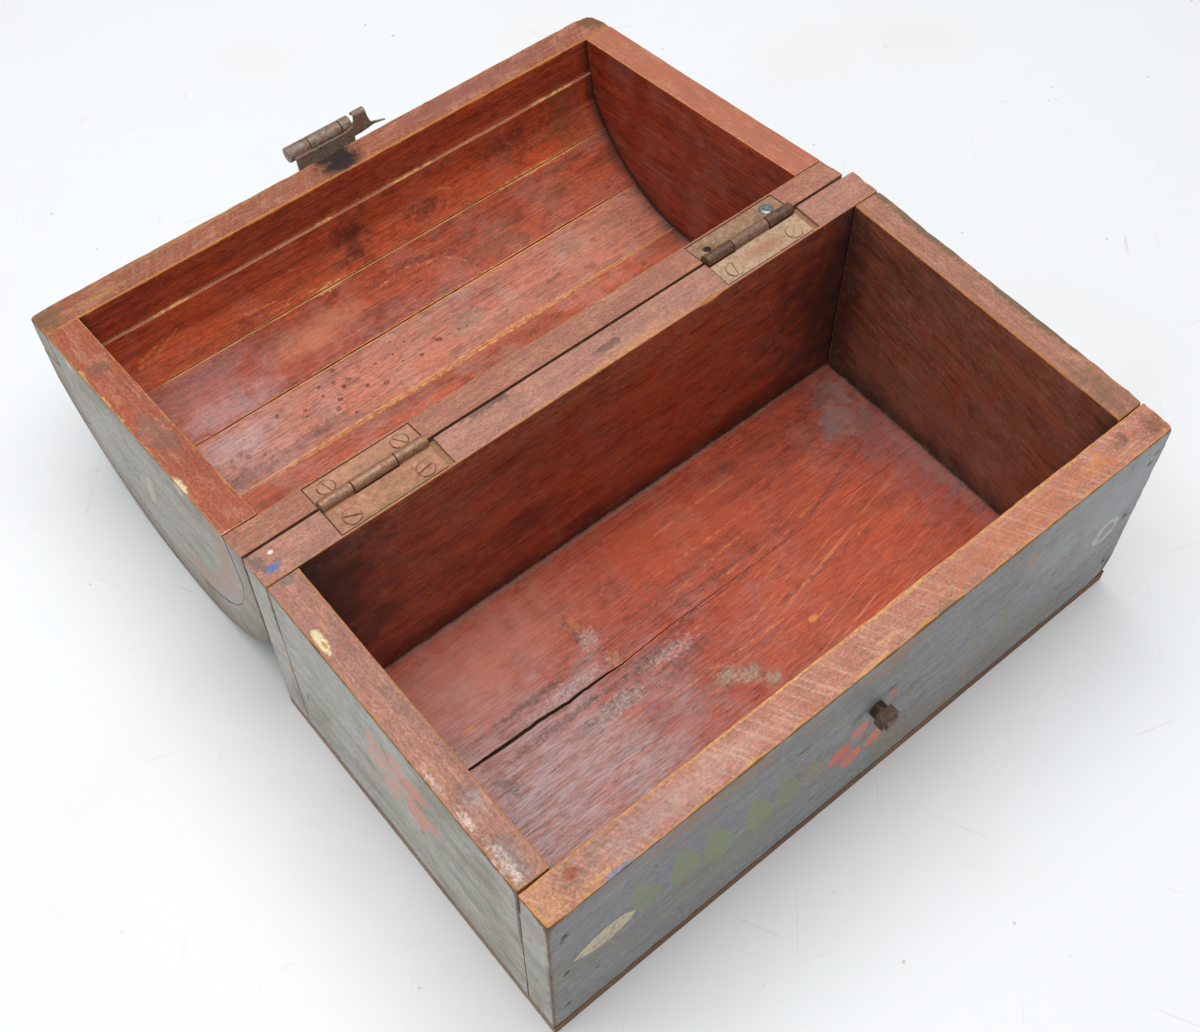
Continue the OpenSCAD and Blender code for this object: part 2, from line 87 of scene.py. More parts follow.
def box_skin(xs, ys, zs):
    """Lattice points on the skin of a box, the squares between them with corners counted so that
    they face outwards, and for each square its side: left, right, front, back, under, top."""
    shape = (len(xs), len(ys), len(zs))
    grid = np.indices(shape)
    last = np.array(shape).reshape(3, 1, 1, 1) - 1
    on_skin = ((grid == 0) | (grid == last)).any(axis=0)
    number = np.full(shape, -1)
    number[on_skin] = np.arange(on_skin.sum())
    i, j, k = (axis[on_skin] for axis in grid)
    points = np.stack([xs[i], ys[j], zs[k]], axis=1)
    squares, sides = [], []
    for axis, end in itertools.product(range(3), (0, 1)):
        sheet = np.take(number, -end, axis=axis)
        square = np.stack([sheet[:-1, :-1], sheet[1:, :-1], sheet[1:, 1:], sheet[:-1, 1:]], axis=-1)
        square = square.reshape(-1, 4)
        if (end == 1) == (axis == 1):
            square = square[:, ::-1]
        squares.append(square)
        sides.append(np.full(len(square), 2 * axis + end))
    return points, np.concatenate(squares), np.concatenate(sides)


def give_to_body(piece, body, nodes):
    """The piece moves with its body and stands for the nodes, which are hidden."""
    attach(piece, body)
    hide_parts(*nodes)


def new_object(name, data):
    """A mesh, lamp or camera as an object in the scene."""
    made = bpy.data.objects.new(name, data)
    bpy.context.scene.collection.objects.link(made)
    return made


def shade(mesh, corner):
    """Smooth shading, but for edges that turn by more than CORNER degrees."""
    mesh.polygons.foreach_set("use_smooth", np.ones(len(mesh.polygons), bool))
    mesh.set_sharp_from_angle(angle=math.radians(corner))


def new_mesh(name, points, faces, materials, face_material, marks):
    """A mesh object from points in millimetres, with one value per point for each named mark.
    Points that fell together are merged, which closes the walls of pockets and drops empty faces."""
    mesh = bpy.data.meshes.new(name)
    mesh.from_pydata(points / 1000, [], faces)
    for material in materials:
        mesh.materials.append(material)
    mesh.polygons.foreach_set("material_index", face_material.astype(np.int32))
    for label, values in marks.items():
        mark = mesh.attributes.new(label, "FLOAT", "POINT")
        mark.data.foreach_set("value", values.astype(np.float32))
    work = bmesh.new()
    work.from_mesh(mesh)
    bmesh.ops.remove_doubles(work, verts=work.verts, dist=2e-6)
    bmesh.ops.dissolve_degenerate(work, edges=work.edges, dist=1e-6)
    work.to_mesh(mesh)
    work.free()
    shade(mesh, 50)
    return new_object(name, mesh)


pit_radius = 1.25
pit_depth = 0.55


def worn_board(node, body, slot, low, high, faces, seed, nook, radius=0.4, ragged=0.5, step=2.0,
               bites=(), pits=(), lines=((), (), ()), shape=None, ease=None):
    """The skin of a board between two corners, with edges rounded by a radius R that changes from place
    to place. A skin point P moves to Q + R * N, where Q is P held R inside the board, and N points from
    Q to P. FACES are the finishes of its sides. BITES (centre, reach, depth) add to R, PITS are small
    dents where nails were driven in, LINES are places that the grid passes through along each axis,
    SHAPE bends the board, NOOK is the distance to the boards around it, and EASE is the share of R that
    is kept at a point, small where two boards still meet closely."""
    low = np.array(low, float)
    size = np.array(high, float) - low
    grid = [board_lines(size[a], step, np.array(lines[a], float) - low[a]) for a in range(3)]
    points, squares, sides = box_skin(*grid)
    spot = points + low
    bend = radius + ragged * np.clip(smooth_noise(spot, 2.6, seed) - 0.35, 0, 1)
    bend += 0.5 * ragged * np.clip(smooth_noise(spot, 11, seed + 1) - 0.5, 0, 1)
    for centre, reach, depth in bites:
        away = np.linalg.norm(spot - np.array(centre, float), axis=1) / reach
        bend += depth * np.clip(1.2 - 1.2 * away, 0, 1) * (0.75 + 0.5 * smooth_noise(spot, 1.6, seed + 2))
    if ease:
        bend = bend * np.clip(ease(spot), 0.08, 1)
    bend = np.minimum(bend, size.min() * 0.45)[:, None]
    edge = np.sort(np.minimum(points, size - points), axis=1)[:, 1]
    hollow = 0.1
    sunk = hollow * smooth_noise(spot, 17, seed + 3) + 0.4 * hollow * smooth_noise(spot, 5, seed + 4)
    for pit in pits:
        sunk[np.linalg.norm(spot - np.array(pit, float), axis=1) < pit_radius] += pit_depth
    inner = np.clip(points, bend, size - bend)
    out = points - inner
    out /= np.linalg.norm(out, axis=1, keepdims=True)
    placed = inner + out * (bend - sunk[:, None]) + low
    marks = {"worn": np.clip(1 - edge / (2.2 * bend[:, 0]), 0, 1), "nook": nook(spot)}
    if shape:
        placed = shape(placed)
    used = list(dict.fromkeys(faces))
    index = np.array([used.index(material) for material in faces])
    piece = new_mesh("worn_" + node, placed, squares, used, index[sides], marks)
    give_to_body(piece, body, [node])


def tone(red, green, blue):
    """A colour given in screen values from 0 to 255, as the linear values that a shader takes."""
    screen = np.array([red, green, blue]) / 255
    linear = np.where(screen < 0.04045, screen / 12.92, ((screen + 0.055) / 1.055) ** 2.4)
    return (*linear.tolist(), 1.0)


class Net:
    """Short ways to add nodes to one tree. An input takes a number, a colour, a vector or a socket."""

    def __init__(self, tree):
        self.tree = tree

    def add(self, kind, values=(), **options):
        """A new node. VALUES fills its inputs, in their order or, when it is a dict, by their names."""
        node = self.tree.nodes.new("ShaderNode" + kind)
        for label, option in options.items():
            setattr(node, label, option)
        for label, value in values.items() if isinstance(values, dict) else enumerate(values):
            if isinstance(value, bpy.types.NodeSocket):
                self.tree.links.new(value, node.inputs[label])
            else:
                node.inputs[label].default_value = value
        return node

    def math(self, operation, *values):
        return self.add("Math", values, operation=operation).outputs[0]

    def vector(self, operation, *values):
        node = self.add("VectorMath", values, operation=operation)
        return node.outputs["Value" if operation in ("DOT_PRODUCT", "LENGTH") else "Vector"]

    def noise(self, vector, size, detail=3.0, roughness=0.55):
        """Noise from 0 to 1 whose lumps are about SIZE wide."""
        scale = self.math("DIVIDE", 1.0, size) if isinstance(size, bpy.types.NodeSocket) else 1 / size
        values = {"Vector": vector, "Scale": scale, "Detail": detail, "Roughness": roughness}
        return self.add("TexNoise", values).outputs["Fac"]

    def band(self, value, start, end):
        """0 before START, 1 after END, with a smooth rise; the other way round when END is lower."""
        values = {"Value": value, "From Min": start, "From Max": end}
        return self.add("MapRange", values, interpolation_type="SMOOTHSTEP").outputs["Result"]

    def mix(self, mask, under, over, blend="MIX"):
        """The colour UNDER, with the colour OVER laid on it where MASK is 1."""
        return self.add("Mix", {0: mask, 6: under, 7: over}, data_type="RGBA", blend_type=blend).outputs[2]

    def mapping(self, vector, location=(0, 0, 0), rotation=(0, 0, 0), scale=(1, 1, 1)):
        values = {"Vector": vector, "Location": location, "Rotation": rotation, "Scale": scale}
        return self.add("Mapping", values).outputs["Vector"]

    def mark(self, label):
        """The value that new_mesh stored for each point under this name."""
        return self.add("Attribute", attribute_name=label).outputs["Fac"]

    def use(self, group, **values):
        """What a group puts out: one socket, or all of them when it has several."""
        outputs = self.add("Group", values, node_tree=group).outputs
        return outputs[0] if len(outputs) == 1 else tuple(outputs)


def new_group(name, inputs, outputs, fill):
    """A node group with named inputs and outputs. FILL draws its inside and returns what it puts out."""
    tree = bpy.data.node_groups.new(name, "ShaderNodeTree")
    for label, value in inputs.items():
        kind = "NodeSocketVector" if isinstance(value, tuple) else "NodeSocketFloat"
        tree.interface.new_socket(name=label, in_out="INPUT", socket_type=kind).default_value = value
    for label in outputs:
        kind = {"Place": "NodeSocketVector", "Colour": "NodeSocketColor"}.get(label, "NodeSocketFloat")
        tree.interface.new_socket(name=label, in_out="OUTPUT", socket_type=kind)
    source = tree.nodes.new("NodeGroupInput")
    sink = tree.nodes.new("NodeGroupOutput")
    for made, socket in zip(fill(Net(tree), source.outputs), sink.inputs):
        tree.links.new(made, socket)
    return tree


def fill_base_place(net, given):
    """The point in millimetres, in the part's own frame."""
    return [net.mapping(net.add("TexCoord").outputs["Object"], scale=MILLIMETRES)]


def drawn_out(net, given):
    """The point, shrunk by Length along X and by Width across it, and moved by Shift."""
    size = net.add("CombineXYZ", [given["Length"], given["Width"], given["Width"]])
    return net.vector("ADD", net.vector("DIVIDE", given["Vector"], size.outputs[0]), given["Shift"])


def drawn_noise(net, given, detail):
    """The outputs of a noise drawn out along X: its value, and a colour of three values of their own."""
    values = {"Vector": drawn_out(net, given), "Scale": 1.0, "Detail": detail, "Roughness": 0.8}
    return net.add("TexNoise", values).outputs


def fill_streaks(net, given):
    """Noise drawn out along X, as brush marks and grain are."""
    return [net.noise(drawn_out(net, given), 1.0, 3.0, 0.6)]


def fill_grit(net, given):
    """Three sets of short grains drawn out along X, each with nothing to do with the others."""
    apart = net.add("SeparateColor", [drawn_noise(net, given, 5.0)["Color"]])
    return [net.band(channel, 0.47, 0.68) for channel in apart.outputs]


def fill_mottling(net, given):
    """A colour around middle grey that changes from grain to grain, mostly in its lightness."""
    grain = drawn_noise(net, given, 4.0)
    grey = net.mix(0.65, grain["Color"], grain["Fac"])
    wide = net.vector("MULTIPLY_ADD", grey, (3.6, 3.6, 3.6), (-1.3, -1.3, -1.3))
    return [net.vector("MINIMUM", net.vector("MAXIMUM", wide, ORIGIN), ONES)]


def fill_wear(net, given):
    """Where the mark Worn, roughened by a fine noise, passes Start."""
    rough = net.noise(given["Vector"], 1.3, 3.0, 0.7)
    rough = net.math("MULTIPLY_ADD", net.math("SUBTRACT", rough, 0.5), given["Ragged"], given["Worn"])
    return [net.band(rough, given["Start"], net.math("ADD", given["Start"], 0.16))]


def fill_patch(net, given):
    """An oval around Centre with half-widths Size, its border bent by noise; Broken takes out crumbs."""
    away = net.vector("SUBTRACT", given["Vector"], given["Centre"])
    away = net.vector("LENGTH", net.vector("DIVIDE", away, given["Size"]))
    rough = net.noise(given["Vector"], given["Grain"], 3.0, 0.65)
    away = net.math("MULTIPLY_ADD", net.math("SUBTRACT", rough, 0.5), given["Ragged"], away)
    oval = net.band(away, 1.0, net.math("SUBTRACT", 1.0, given["Soft"]))
    crumbs = net.band(net.noise(given["Vector"], 1.1, 5.0, 0.75), 0.42, 0.58)
    kept = net.math("SUBTRACT", 1.0, net.math("MULTIPLY", given["Broken"], crumbs))
    return [net.math("MULTIPLY", oval, kept)]


def fill_specks(net, given):
    """Small round spots about Size apart; Amount is how large they are against that."""
    spot = net.vector("DIVIDE", given["Vector"], given["Size"])
    cells = net.add("TexVoronoi", {"Vector": spot, "Scale": 1.0})
    crowded = net.band(net.noise(given["Vector"], 9.0, 2.0), 0.35, 0.7)
    reach = net.math("MULTIPLY", given["Amount"], crowded)
    return [net.band(net.math("SUBTRACT", cells.outputs["Distance"], reach), 0.03, -0.03)]


def fill_scratches(net, given):
    """Thin straight lines along X, about Spacing apart and Width wide, broken off after about Length."""
    across = net.vector("DIVIDE", given["Vector"], given["Spacing"])
    across = net.vector("MULTIPLY", across, (0.004, 1.0, 1.0))
    wave = net.math("ABSOLUTE", net.math("SUBTRACT", net.noise(across, 1.0, 0.0), 0.5))
    thin = net.math("DIVIDE", given["Width"], given["Spacing"])
    size = net.add("CombineXYZ", [given["Length"], given["Spacing"], given["Spacing"]])
    keep = net.noise(net.vector("DIVIDE", given["Vector"], size.outputs[0]), 0.6, 2.0)
    kept = net.band(keep, given["Keep"], net.math("ADD", given["Keep"], 0.08))
    return [net.math("MULTIPLY", net.band(wave, thin, 0.0), kept)]


ORIGIN = (0.0, 0.0, 0.0)
ONES = (1.0, 1.0, 1.0)
MILLIMETRES = (1000, 1000, 1000)
base_place = new_group("base place", {}, ["Place"], fill_base_place)
drawn_inputs = {"Vector": ORIGIN, "Length": 60.0, "Width": 2.0, "Shift": ORIGIN}
streaks = new_group("streaks", drawn_inputs, ["Value"], fill_streaks)
grit = new_group("grit", drawn_inputs, ["First", "Second", "Third"], fill_grit)
mottling = new_group("mottling", drawn_inputs, ["Colour"], fill_mottling)
wear_inputs = {"Vector": ORIGIN, "Worn": 0.0, "Start": 0.4, "Ragged": 0.8}
wear = new_group("edge wear", wear_inputs, ["Mask"], fill_wear)
patch_inputs = {"Vector": ORIGIN, "Centre": ORIGIN, "Size": (5.0, 5.0, 5.0), "Ragged": 1.0,
                "Grain": 2.5, "Soft": 0.45, "Broken": 0.0}
patch = new_group("patch", patch_inputs, ["Mask"], fill_patch)
specks = new_group("specks", {"Vector": ORIGIN, "Size": 2.0, "Amount": 0.2}, ["Mask"], fill_specks)
scratch_inputs = {"Vector": ORIGIN, "Length": 80.0, "Spacing": 8.0, "Width": 0.2, "Keep": 0.5}
scratches = new_group("scratches", scratch_inputs, ["Mask"], fill_scratches)


def fill_stroke(net, given):
    """One dab of a brush from Tail to Tip: at the share T of its length it is
    Width * T^Belly * (1 - T)^Taper wide to each side, and the paint is broken up by wear."""
    along = net.vector("SUBTRACT", given["Tip"], given["Tail"])
    here = net.vector("SUBTRACT", given["Vector"], given["Tail"])
    passed = net.vector("DOT_PRODUCT", here, along)
    share = net.math("DIVIDE", passed, net.vector("DOT_PRODUCT", along, along))
    nearest = net.add("VectorMath", {0: along, "Scale": share}, operation="SCALE").outputs["Vector"]
    aside = net.vector("LENGTH", net.vector("SUBTRACT", here, nearest))
    inside = net.math("MAXIMUM", net.math("MINIMUM", share, 1.0), 0.0)
    growing = net.math("POWER", inside, given["Belly"])
    closing = net.math("POWER", net.math("SUBTRACT", 1.0, inside), given["Taper"])
    reach = net.math("MULTIPLY", net.math("MULTIPLY", growing, closing), given["Width"])
    rough = net.math("MULTIPLY_ADD", net.noise(given["Vector"], 1.6, 3.0), 1.4, -0.7)
    shape = net.band(net.math("ADD", net.math("SUBTRACT", reach, aside), rough), 0.0, 0.6)
    solid = net.math("MULTIPLY", shape, net.band(reach, 0.02, 0.3))
    bare = net.noise(given["Vector"], 2.2, 4.0, 0.7)
    kept = net.band(bare, given["Thin"], net.math("ADD", given["Thin"], 0.2))
    return [net.math("MULTIPLY", solid, kept)]


stroke_inputs = {"Vector": ORIGIN, "Tail": ORIGIN, "Tip": (1.0, 0.0, 0.0), "Width": 2.0,
                 "Belly": 0.6, "Taper": 0.6, "Thin": 0.3}
stroke = new_group("brush stroke", stroke_inputs, ["Mask"], fill_stroke)


class Finish(Net):
    """One material: layers of colour and height laid over each other, and then its shader. PLACE is the
    point in millimetres, and FLAT the face that marks lie on: its axis, 0 to 2, and its level."""

    def __init__(self, name, colour, place=None):
        self.material = bpy.data.materials.new(name)
        self.material.use_nodes = True
        super().__init__(self.material.node_tree)
        self.tree.nodes.clear()
        self.place = self.use(place or base_place)
        self.colour = colour
        self.height = 0.0
        self.roughness = 0.5
        self.flat = (2, 0.0)

    def drawn(self, group, length, width, shift, vector):
        """A group of marks LENGTH by WIDTH. SHIFT is a number that takes them from another place."""
        where = vector or self.place
        return self.use(group, Vector=where, Length=length, Width=width, Shift=(shift, shift * 1.7, 0))

    def streak(self, length, width, shift, vector=None):
        """Noise in streaks along X."""
        return self.drawn(streaks, length, width, shift, vector)

    def grains(self, length, width, shift, vector=None):
        """Three masks of short grains along X."""
        return self.drawn(grit, length, width, shift, vector)

    def mottle(self, length, width, strength, shift=0.0, vector=None):
        """Makes each grain of the surface a little lighter, darker or of another hue."""
        colour = self.drawn(mottling, length, width, shift, vector)
        self.colour = self.mix(strength, self.colour, colour, "OVERLAY")

    def lay(self, mask, colour, strength, within=None):
        """Paints COLOUR where MASK is 1, and where WITHIN is 1 too if it is given."""
        if within is not None:
            mask = self.math("MULTIPLY", mask, within)
        self.colour = self.mix(self.math("MULTIPLY", mask, strength), self.colour, colour)

    def tint(self, value, start, end, colour, strength):
        """Paints COLOUR where VALUE has passed from START to END."""
        self.lay(self.band(value, start, end), colour, strength)

    def lift(self, mask, amount):
        """Raises the surface by AMOUNT millimetres where MASK is 1, in the bump alone."""
        self.height = self.math("MULTIPLY_ADD", mask, amount, self.height)

    def dull(self, mask, roughness, strength=1.0):
        """Changes the roughness towards a new value where MASK is 1."""
        part = self.math("MULTIPLY", mask, strength)
        change = self.math("SUBTRACT", roughness, self.roughness)
        self.roughness = self.math("MULTIPLY_ADD", part, change, self.roughness)

    def oval(self, centre, size, ragged=1.0, grain=2.5, soft=0.45, broken=0.0):
        """1 in an oval with half-widths SIZE. Its border wanders by RAGGED in waves GRAIN long and fades
        over the share SOFT of the oval, and BROKEN is how clearly crumbs of it are missing."""
        return self.use(patch, Vector=self.place, Centre=centre, Size=size, Ragged=ragged,
                        Grain=grain, Soft=soft, Broken=broken)

    def patches(self, spots, colour, strength, *border):
        """Stains and bare places: SPOTS is a list of (centre, half-widths), and BORDER is as for an oval:
        ragged, grain, soft and broken."""
        for centre, size in spots:
            self.lay(self.oval(centre, size, *border), colour, strength)

    def across(self, pair, level):
        """The two coordinates of a place on the flat face, with LEVEL put in for the third."""
        return [*pair[:self.flat[0]], level, *pair[self.flat[0]:]]

    def marks(self, spots, *look, deep=9):
        """Patches on the flat face. Each of SPOTS gives the centre's two coordinates on the face and the
        two half-widths. DEEP is how far a patch reaches into the board."""
        for spot in spots:
            self.patches([(self.across(spot[:2], self.flat[1]), self.across(spot[2:], deep))], *look)

    def dab(self, tail, tip, width, colour, strength, belly, taper, thin=0.3):
        """A brush stroke WIDTH to each side at its widest. It narrows less towards the end whose power,
        BELLY for the tail and TAPER for the tip, is smaller. THIN is how much of it has worn away. Ends
        of two coordinates are on the flat face."""
        if len(tail) == 2:
            tail, tip = self.across(tail, self.flat[1]), self.across(tip, self.flat[1])
        both = belly + taper
        widest = (belly / both) ** belly * (taper / both) ** taper
        mask = self.use(stroke, Vector=self.place, Tail=tail, Tip=tip, Width=width / widest,
                        Belly=belly, Taper=taper, Thin=thin)
        self.lay(mask, colour, strength)

    def rub(self, worn, start, ragged, colour, strength):
        """Paints COLOUR along the WORN edges: in a narrower border for a larger START, bent by RAGGED."""
        mask = self.use(wear, Vector=self.place, Worn=worn, Start=start, Ragged=ragged)
        self.lay(mask, colour, strength)

    def axis(self, number):
        """One coordinate of the place: 0 for X, 1 for Y, 2 for Z."""
        return self.add("SeparateXYZ", [self.place]).outputs[number]

    def distance(self, centre, axes):
        """How far the place is from CENTRE, counting only the axes that AXES has a 1 for."""
        away = self.vector("SUBTRACT", self.place, centre)
        return self.vector("LENGTH", self.vector("MULTIPLY", away, axes))

    def frayed(self, value, amount, size):
        """VALUE with noise of up to AMOUNT added, so that a border drawn at one of its levels frays."""
        return self.math("MULTIPLY_ADD", self.noise(self.place, size, 4.0, 0.7), amount, value)

    def finished(self, metallic=0.0, specular=0.5):
        """The material, with its shader added. Heights were in millimetres."""
        bump = self.add("Bump", {"Distance": 0.001, "Height": self.height})
        shader = self.add("BsdfPrincipled", {
            "Base Color": self.colour,
            "Roughness": self.roughness,
            "Metallic": metallic,
            "Specular IOR Level": specular,
            "Normal": bump.outputs["Normal"],
        })
        self.add("OutputMaterial", {"Surface": shader.outputs["BSDF"]})
        return self.material


def darker(colour, share):
    """The colour with only a SHARE of its light."""
    return tuple(share * c for c in colour[:3]) + (1.0,)


def inside_paint(name, base, place=None, turn=(0, 0, 0), vivid=0.5, dust=0.4, painted_sheen=0.15, grime=5.0,
                 grime_and_shade_tone=tone(40, 26, 22), bare=tone(214, 136, 66), bare_start=0.5):
    """Old brick-red paint: dark and light brush streaks along the board from 8 mm down to hair-thin,
    brown blots, orange and pale grains, a painted grey sheen in clouds, and grime with painted shade that
    thickens towards corners and joints."""
    paint = Finish(name, base, place)
    along = paint.mapping(paint.place, rotation=turn) if any(turn) else paint.place
    broad = paint.streak(60.0, 8.0, 3.0, along)
    thin = paint.streak(32.0, 1.3, 9.0, along)
    hair = paint.streak(24.0, 0.5, 27.0, along)
    cloud = paint.noise(paint.place, 22.0, 4.0, 0.65)
    blot = paint.noise(paint.mapping(along, scale=(0.4, 1, 1)), 4.0, 5.0, 0.72)
    dark, pale, warm = paint.grains(7.0, 0.7, 21.0, along)
    glow = tone(214, 84, 36)
    paint.tint(broad, 0.42, 0.66, darker(base, 0.45), 0.55)
    paint.lay(paint.band(thin, 0.52, 0.3), glow, vivid, within=paint.band(cloud, 0.38, 0.6))
    paint.tint(thin, 0.5, 0.7, darker(base, 0.36), 0.55)
    paint.tint(hair, 0.52, 0.7, darker(base, 0.3), 0.5)
    paint.tint(hair, 0.46, 0.3, tone(222, 118, 72), 0.3)
    paint.tint(blot, 0.52, 0.64, darker(base, 0.28), 0.55)
    # Painted sheen: a pale grey tint in clouds, standing for the lamp's reflection on the paint.
    paint.tint(paint.noise(along, 13.0, 4.0, 0.6), 0.44, 0.66, tone(188, 152, 138), painted_sheen)
    paint.lay(warm, glow, 0.1 + 0.3 * vivid)
    paint.lay(pale, tone(190, 154, 134), 0.7 * dust, within=paint.band(blot, 0.66, 0.42))
    paint.lay(dark, darker(base, 0.25), 0.3)
    paint.mottle(2.6, 0.6, 0.32, 43.0, along)
    # Grime and painted shade: darker towards the corners and the boards alongside, and a near-black line
    # where boards meet.
    dust_and_shade = paint.math("MULTIPLY_ADD", cloud, grime, paint.mark("nook"))
    dust_and_shade = paint.band(dust_and_shade, grime * 1.5, grime * 0.35)
    paint.lay(dust_and_shade, grime_and_shade_tone, 0.75)
    foot = paint.band(paint.math("MULTIPLY_ADD", blot, 1.6, paint.mark("nook")), 1.7, 0.7)
    paint.lay(foot, tone(20, 13, 11), 0.85)
    paint.rub(paint.mark("worn"), bare_start, 0.9, bare, 0.9)
    paint.lift(thin, 0.12)
    paint.lift(blot, 0.08)
    paint.lift(pale, 0.06)
    paint.roughness = paint.math("MULTIPLY_ADD", cloud, -0.35, 0.62)
    paint.dull(dust_and_shade, 0.75)
    return paint


def bare_wood(name, base):
    """Unpainted wood gone brown, with grain along X."""
    wood = Finish(name, base)
    grain = wood.streak(60.0, 1.2, 5.0)
    wood.tint(grain, 0.4, 0.7, tone(84, 56, 38), 0.8)
    wood.tint(wood.noise(wood.place, 18.0), 0.5, 0.75, tone(96, 84, 72), 0.6)
    wood.lift(grain, 0.2)
    wood.roughness = 0.75
    return wood.finished()


def floor_paint():
    """The floor: as the inside paint, with a painted grey sheen at the left, painted pale-pink light at the
    back left, stains, a worn patch and a knot.
    """
    paint = inside_paint("floor paint", tone(178, 70, 38), vivid=0.6, dust=0.2, painted_sheen=0.16, grime=1.8,
                         grime_and_shade_tone=tone(92, 66, 56), bare=tone(96, 56, 42))
    paint.flat = (2, floor_top)
    drawn = paint.streak(14.0, 2.6, 33.0)
    dark, pale, warm = paint.grains(7.0, 1.0, 57.0)
    # Painted light: pale pink over the back left of the floor, where the back wall shades it and the sheen
    # falls.
    paint.marks([(-70, 40, 70, 30)], tone(222, 146, 126), 0.6, 1.2, 14.0, 0.95, deep=60)
    paint.marks([(10, 38, 60, 24)], tone(222, 96, 52), 0.4, 1.2, 14.0, 0.95, deep=60)
    # Painted sheen: grey-pink over the left of the floor, with pale and dark grains in it; its roughness is
    # lowered there too.
    sheen_patch = paint.oval((-76, -14, floor_top), (80, 58, 60), grain=16.0, soft=0.95)
    paint.lay(sheen_patch, tone(190, 160, 152), 0.48)
    paint.lay(sheen_patch, tone(190, 176, 182), 0.42, within=paint.band(drawn, 0.36, 0.6))
    paint.lay(sheen_patch, tone(206, 184, 180), 0.4, within=pale)
    paint.lay(sheen_patch, tone(98, 68, 64), 0.65, within=dark)
    paint.dull(sheen_patch, 0.34, 0.8)
    fibres = paint.oval((46, -12, floor_top), (66, 46, 60), grain=14.0, soft=0.8)
    paint.lay(fibres, tone(206, 82, 38), 0.35)
    paint.lay(fibres, tone(232, 98, 40), 0.6, within=warm)
    paint.lay(fibres, tone(72, 34, 26), 0.4, within=dark)
    paint.marks([(104, 10, 22, 50)], tone(146, 112, 112), 0.5, 2.4, 6.0, 0.9, 0.5, deep=20)
    tilted = paint.mapping(paint.place, rotation=(0, 0, math.radians(-13)))
    fine_lines = paint.use(scratches, Vector=tilted, Length=46.0, Spacing=3.4, Width=0.16, Keep=0.46)
    paint.lay(fibres, tone(236, 150, 100), 0.5, within=fine_lines)
    corner = [(98, 36, 13, 13), (90, 34, 6, 6), (104, 46, 9, 9)]
    paint.marks(corner, tone(160, 134, 124), 0.62, 2.6, 4.0, 0.9, 0.3, deep=20)
    smudges = [(91, 33, 8, 9), (104, 30, 8, 8), (98, 47, 12, 7)]
    paint.marks(smudges, tone(112, 88, 82), 0.6, 2.6, 3.0, 0.9, 0.4, deep=20)
    paint.marks([(107, 0, 4, 60)], tone(158, 120, 114), 0.45, 2.4, 3.0, 0.9, 0.4)
    crust = [(-6, -17, 6, 4.4), (0, -21, 5, 4.4), (5, -27, 4, 3.6)]
    paint.marks(crust, tone(128, 98, 80), 0.75, 2.4, 2.2, 0.7, 0.3)
    paint.marks(crust, tone(188, 168, 138), 0.7, 2.4, 1.6, 0.6, 0.8)
    stains = [(-35, 29, 4, 8), (-42, -1, 13, 4), (-86, -2, 5, 6), (-20, 4, 14, 4), (-60, 17.5, 24, 2),
              (-60, 5, 32, 2), (-8, -2, 14, 3), (-31, 12, 4, 5)]
    paint.marks(stains, tone(84, 66, 60), 0.72, 3.0, 2.6, 0.8, 0.5)
    pale_crust = [(-42, -2, 12, 4), (-33, 23, 5, 6), (-14, 2, 12, 4), (-50, 13, 20, 3)]
    paint.marks(pale_crust, tone(204, 186, 180), 0.6, 3.0, 1.6, 0.7, 0.85)
    golden = [(-34, 31, 3, 5), (-31, 12, 3, 4), (-84, 22, 3, 1.4), (22, 13, 6, 1)]
    paint.marks(golden, tone(214, 132, 78), 0.7, 3.0, 1.8, 0.6, 0.6)
    lines = [((-20, 8.4), (12, 8.2)), ((8, 8.3), (44, 10)), ((38, 9.4), (68, 14)), ((60, 12.4), (97, 23)),
             ((2, 14.6), (46, 14)), ((20, -8), (76, -5)), ((-34, -4), (-8, -5))]
    for tail, tip in lines:
        paint.dab(tail, tip, 1.5, tone(104, 54, 42), 0.62, 0.6, 0.5, 0.4)
    pale_lines = [((42, 11), (70, 16)), ((-6, 28), (60, 27)), ((0, 40), (50, 42)), ((-30, -11), (26, -13)),
                  ((-4, 18), (40, 22))]
    for tail, tip in pale_lines:
        paint.dab(tail, tip, 0.8, tone(232, 136, 76), 0.6, 0.4, 0.4, 0.42)
    paint.marks([(31, -19, 2.4, 1.5)], tone(222, 142, 60), 0.9, 1.2, 1.6)
    paint.marks([(0, 56.8, 118, 1.4)], tone(150, 122, 108), 0.5, 2.4, 2.5, 0.6, 0.5)
    return paint.finished()


base_boards = ["front_board", "back_board", "left_end_board", "right_end_board",
               "front_floor_board", "back_floor_board"]
boxes = {node: [np.array(corner) * 1000 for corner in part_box(node)] for node in base_boards}
base_low = boxes["front_floor_board"][0]
base_high = boxes["back_board"][1]
floor_top = boxes["front_floor_board"][1][2]
seam_y = boxes["front_floor_board"][1][1]
inside_low = np.array([boxes["left_end_board"][1][0], boxes["front_board"][1][1], floor_top])
inside_high = np.array([boxes["right_end_board"][0][0], boxes["back_board"][0][1], base_high[2]])
bottom_wood = bare_wood("bare wood", tone(136, 98, 66))
floor_end_wood = bare_wood("floor end wood", tone(172, 144, 122))
floor_finish = floor_paint()


def wall_distance(points, skip):
    """Distance to the nearest inner face of the base, leaving out the side named in SKIP."""
    gaps = {
        "left": points[:, 0] - inside_low[0],
        "right": inside_high[0] - points[:, 0],
        "front": points[:, 1] - inside_low[1],
        "back": inside_high[1] - points[:, 1],
        "under": points[:, 2] - inside_low[2],
    }
    return np.min([gap for side, gap in gaps.items() if side != skip], axis=0)


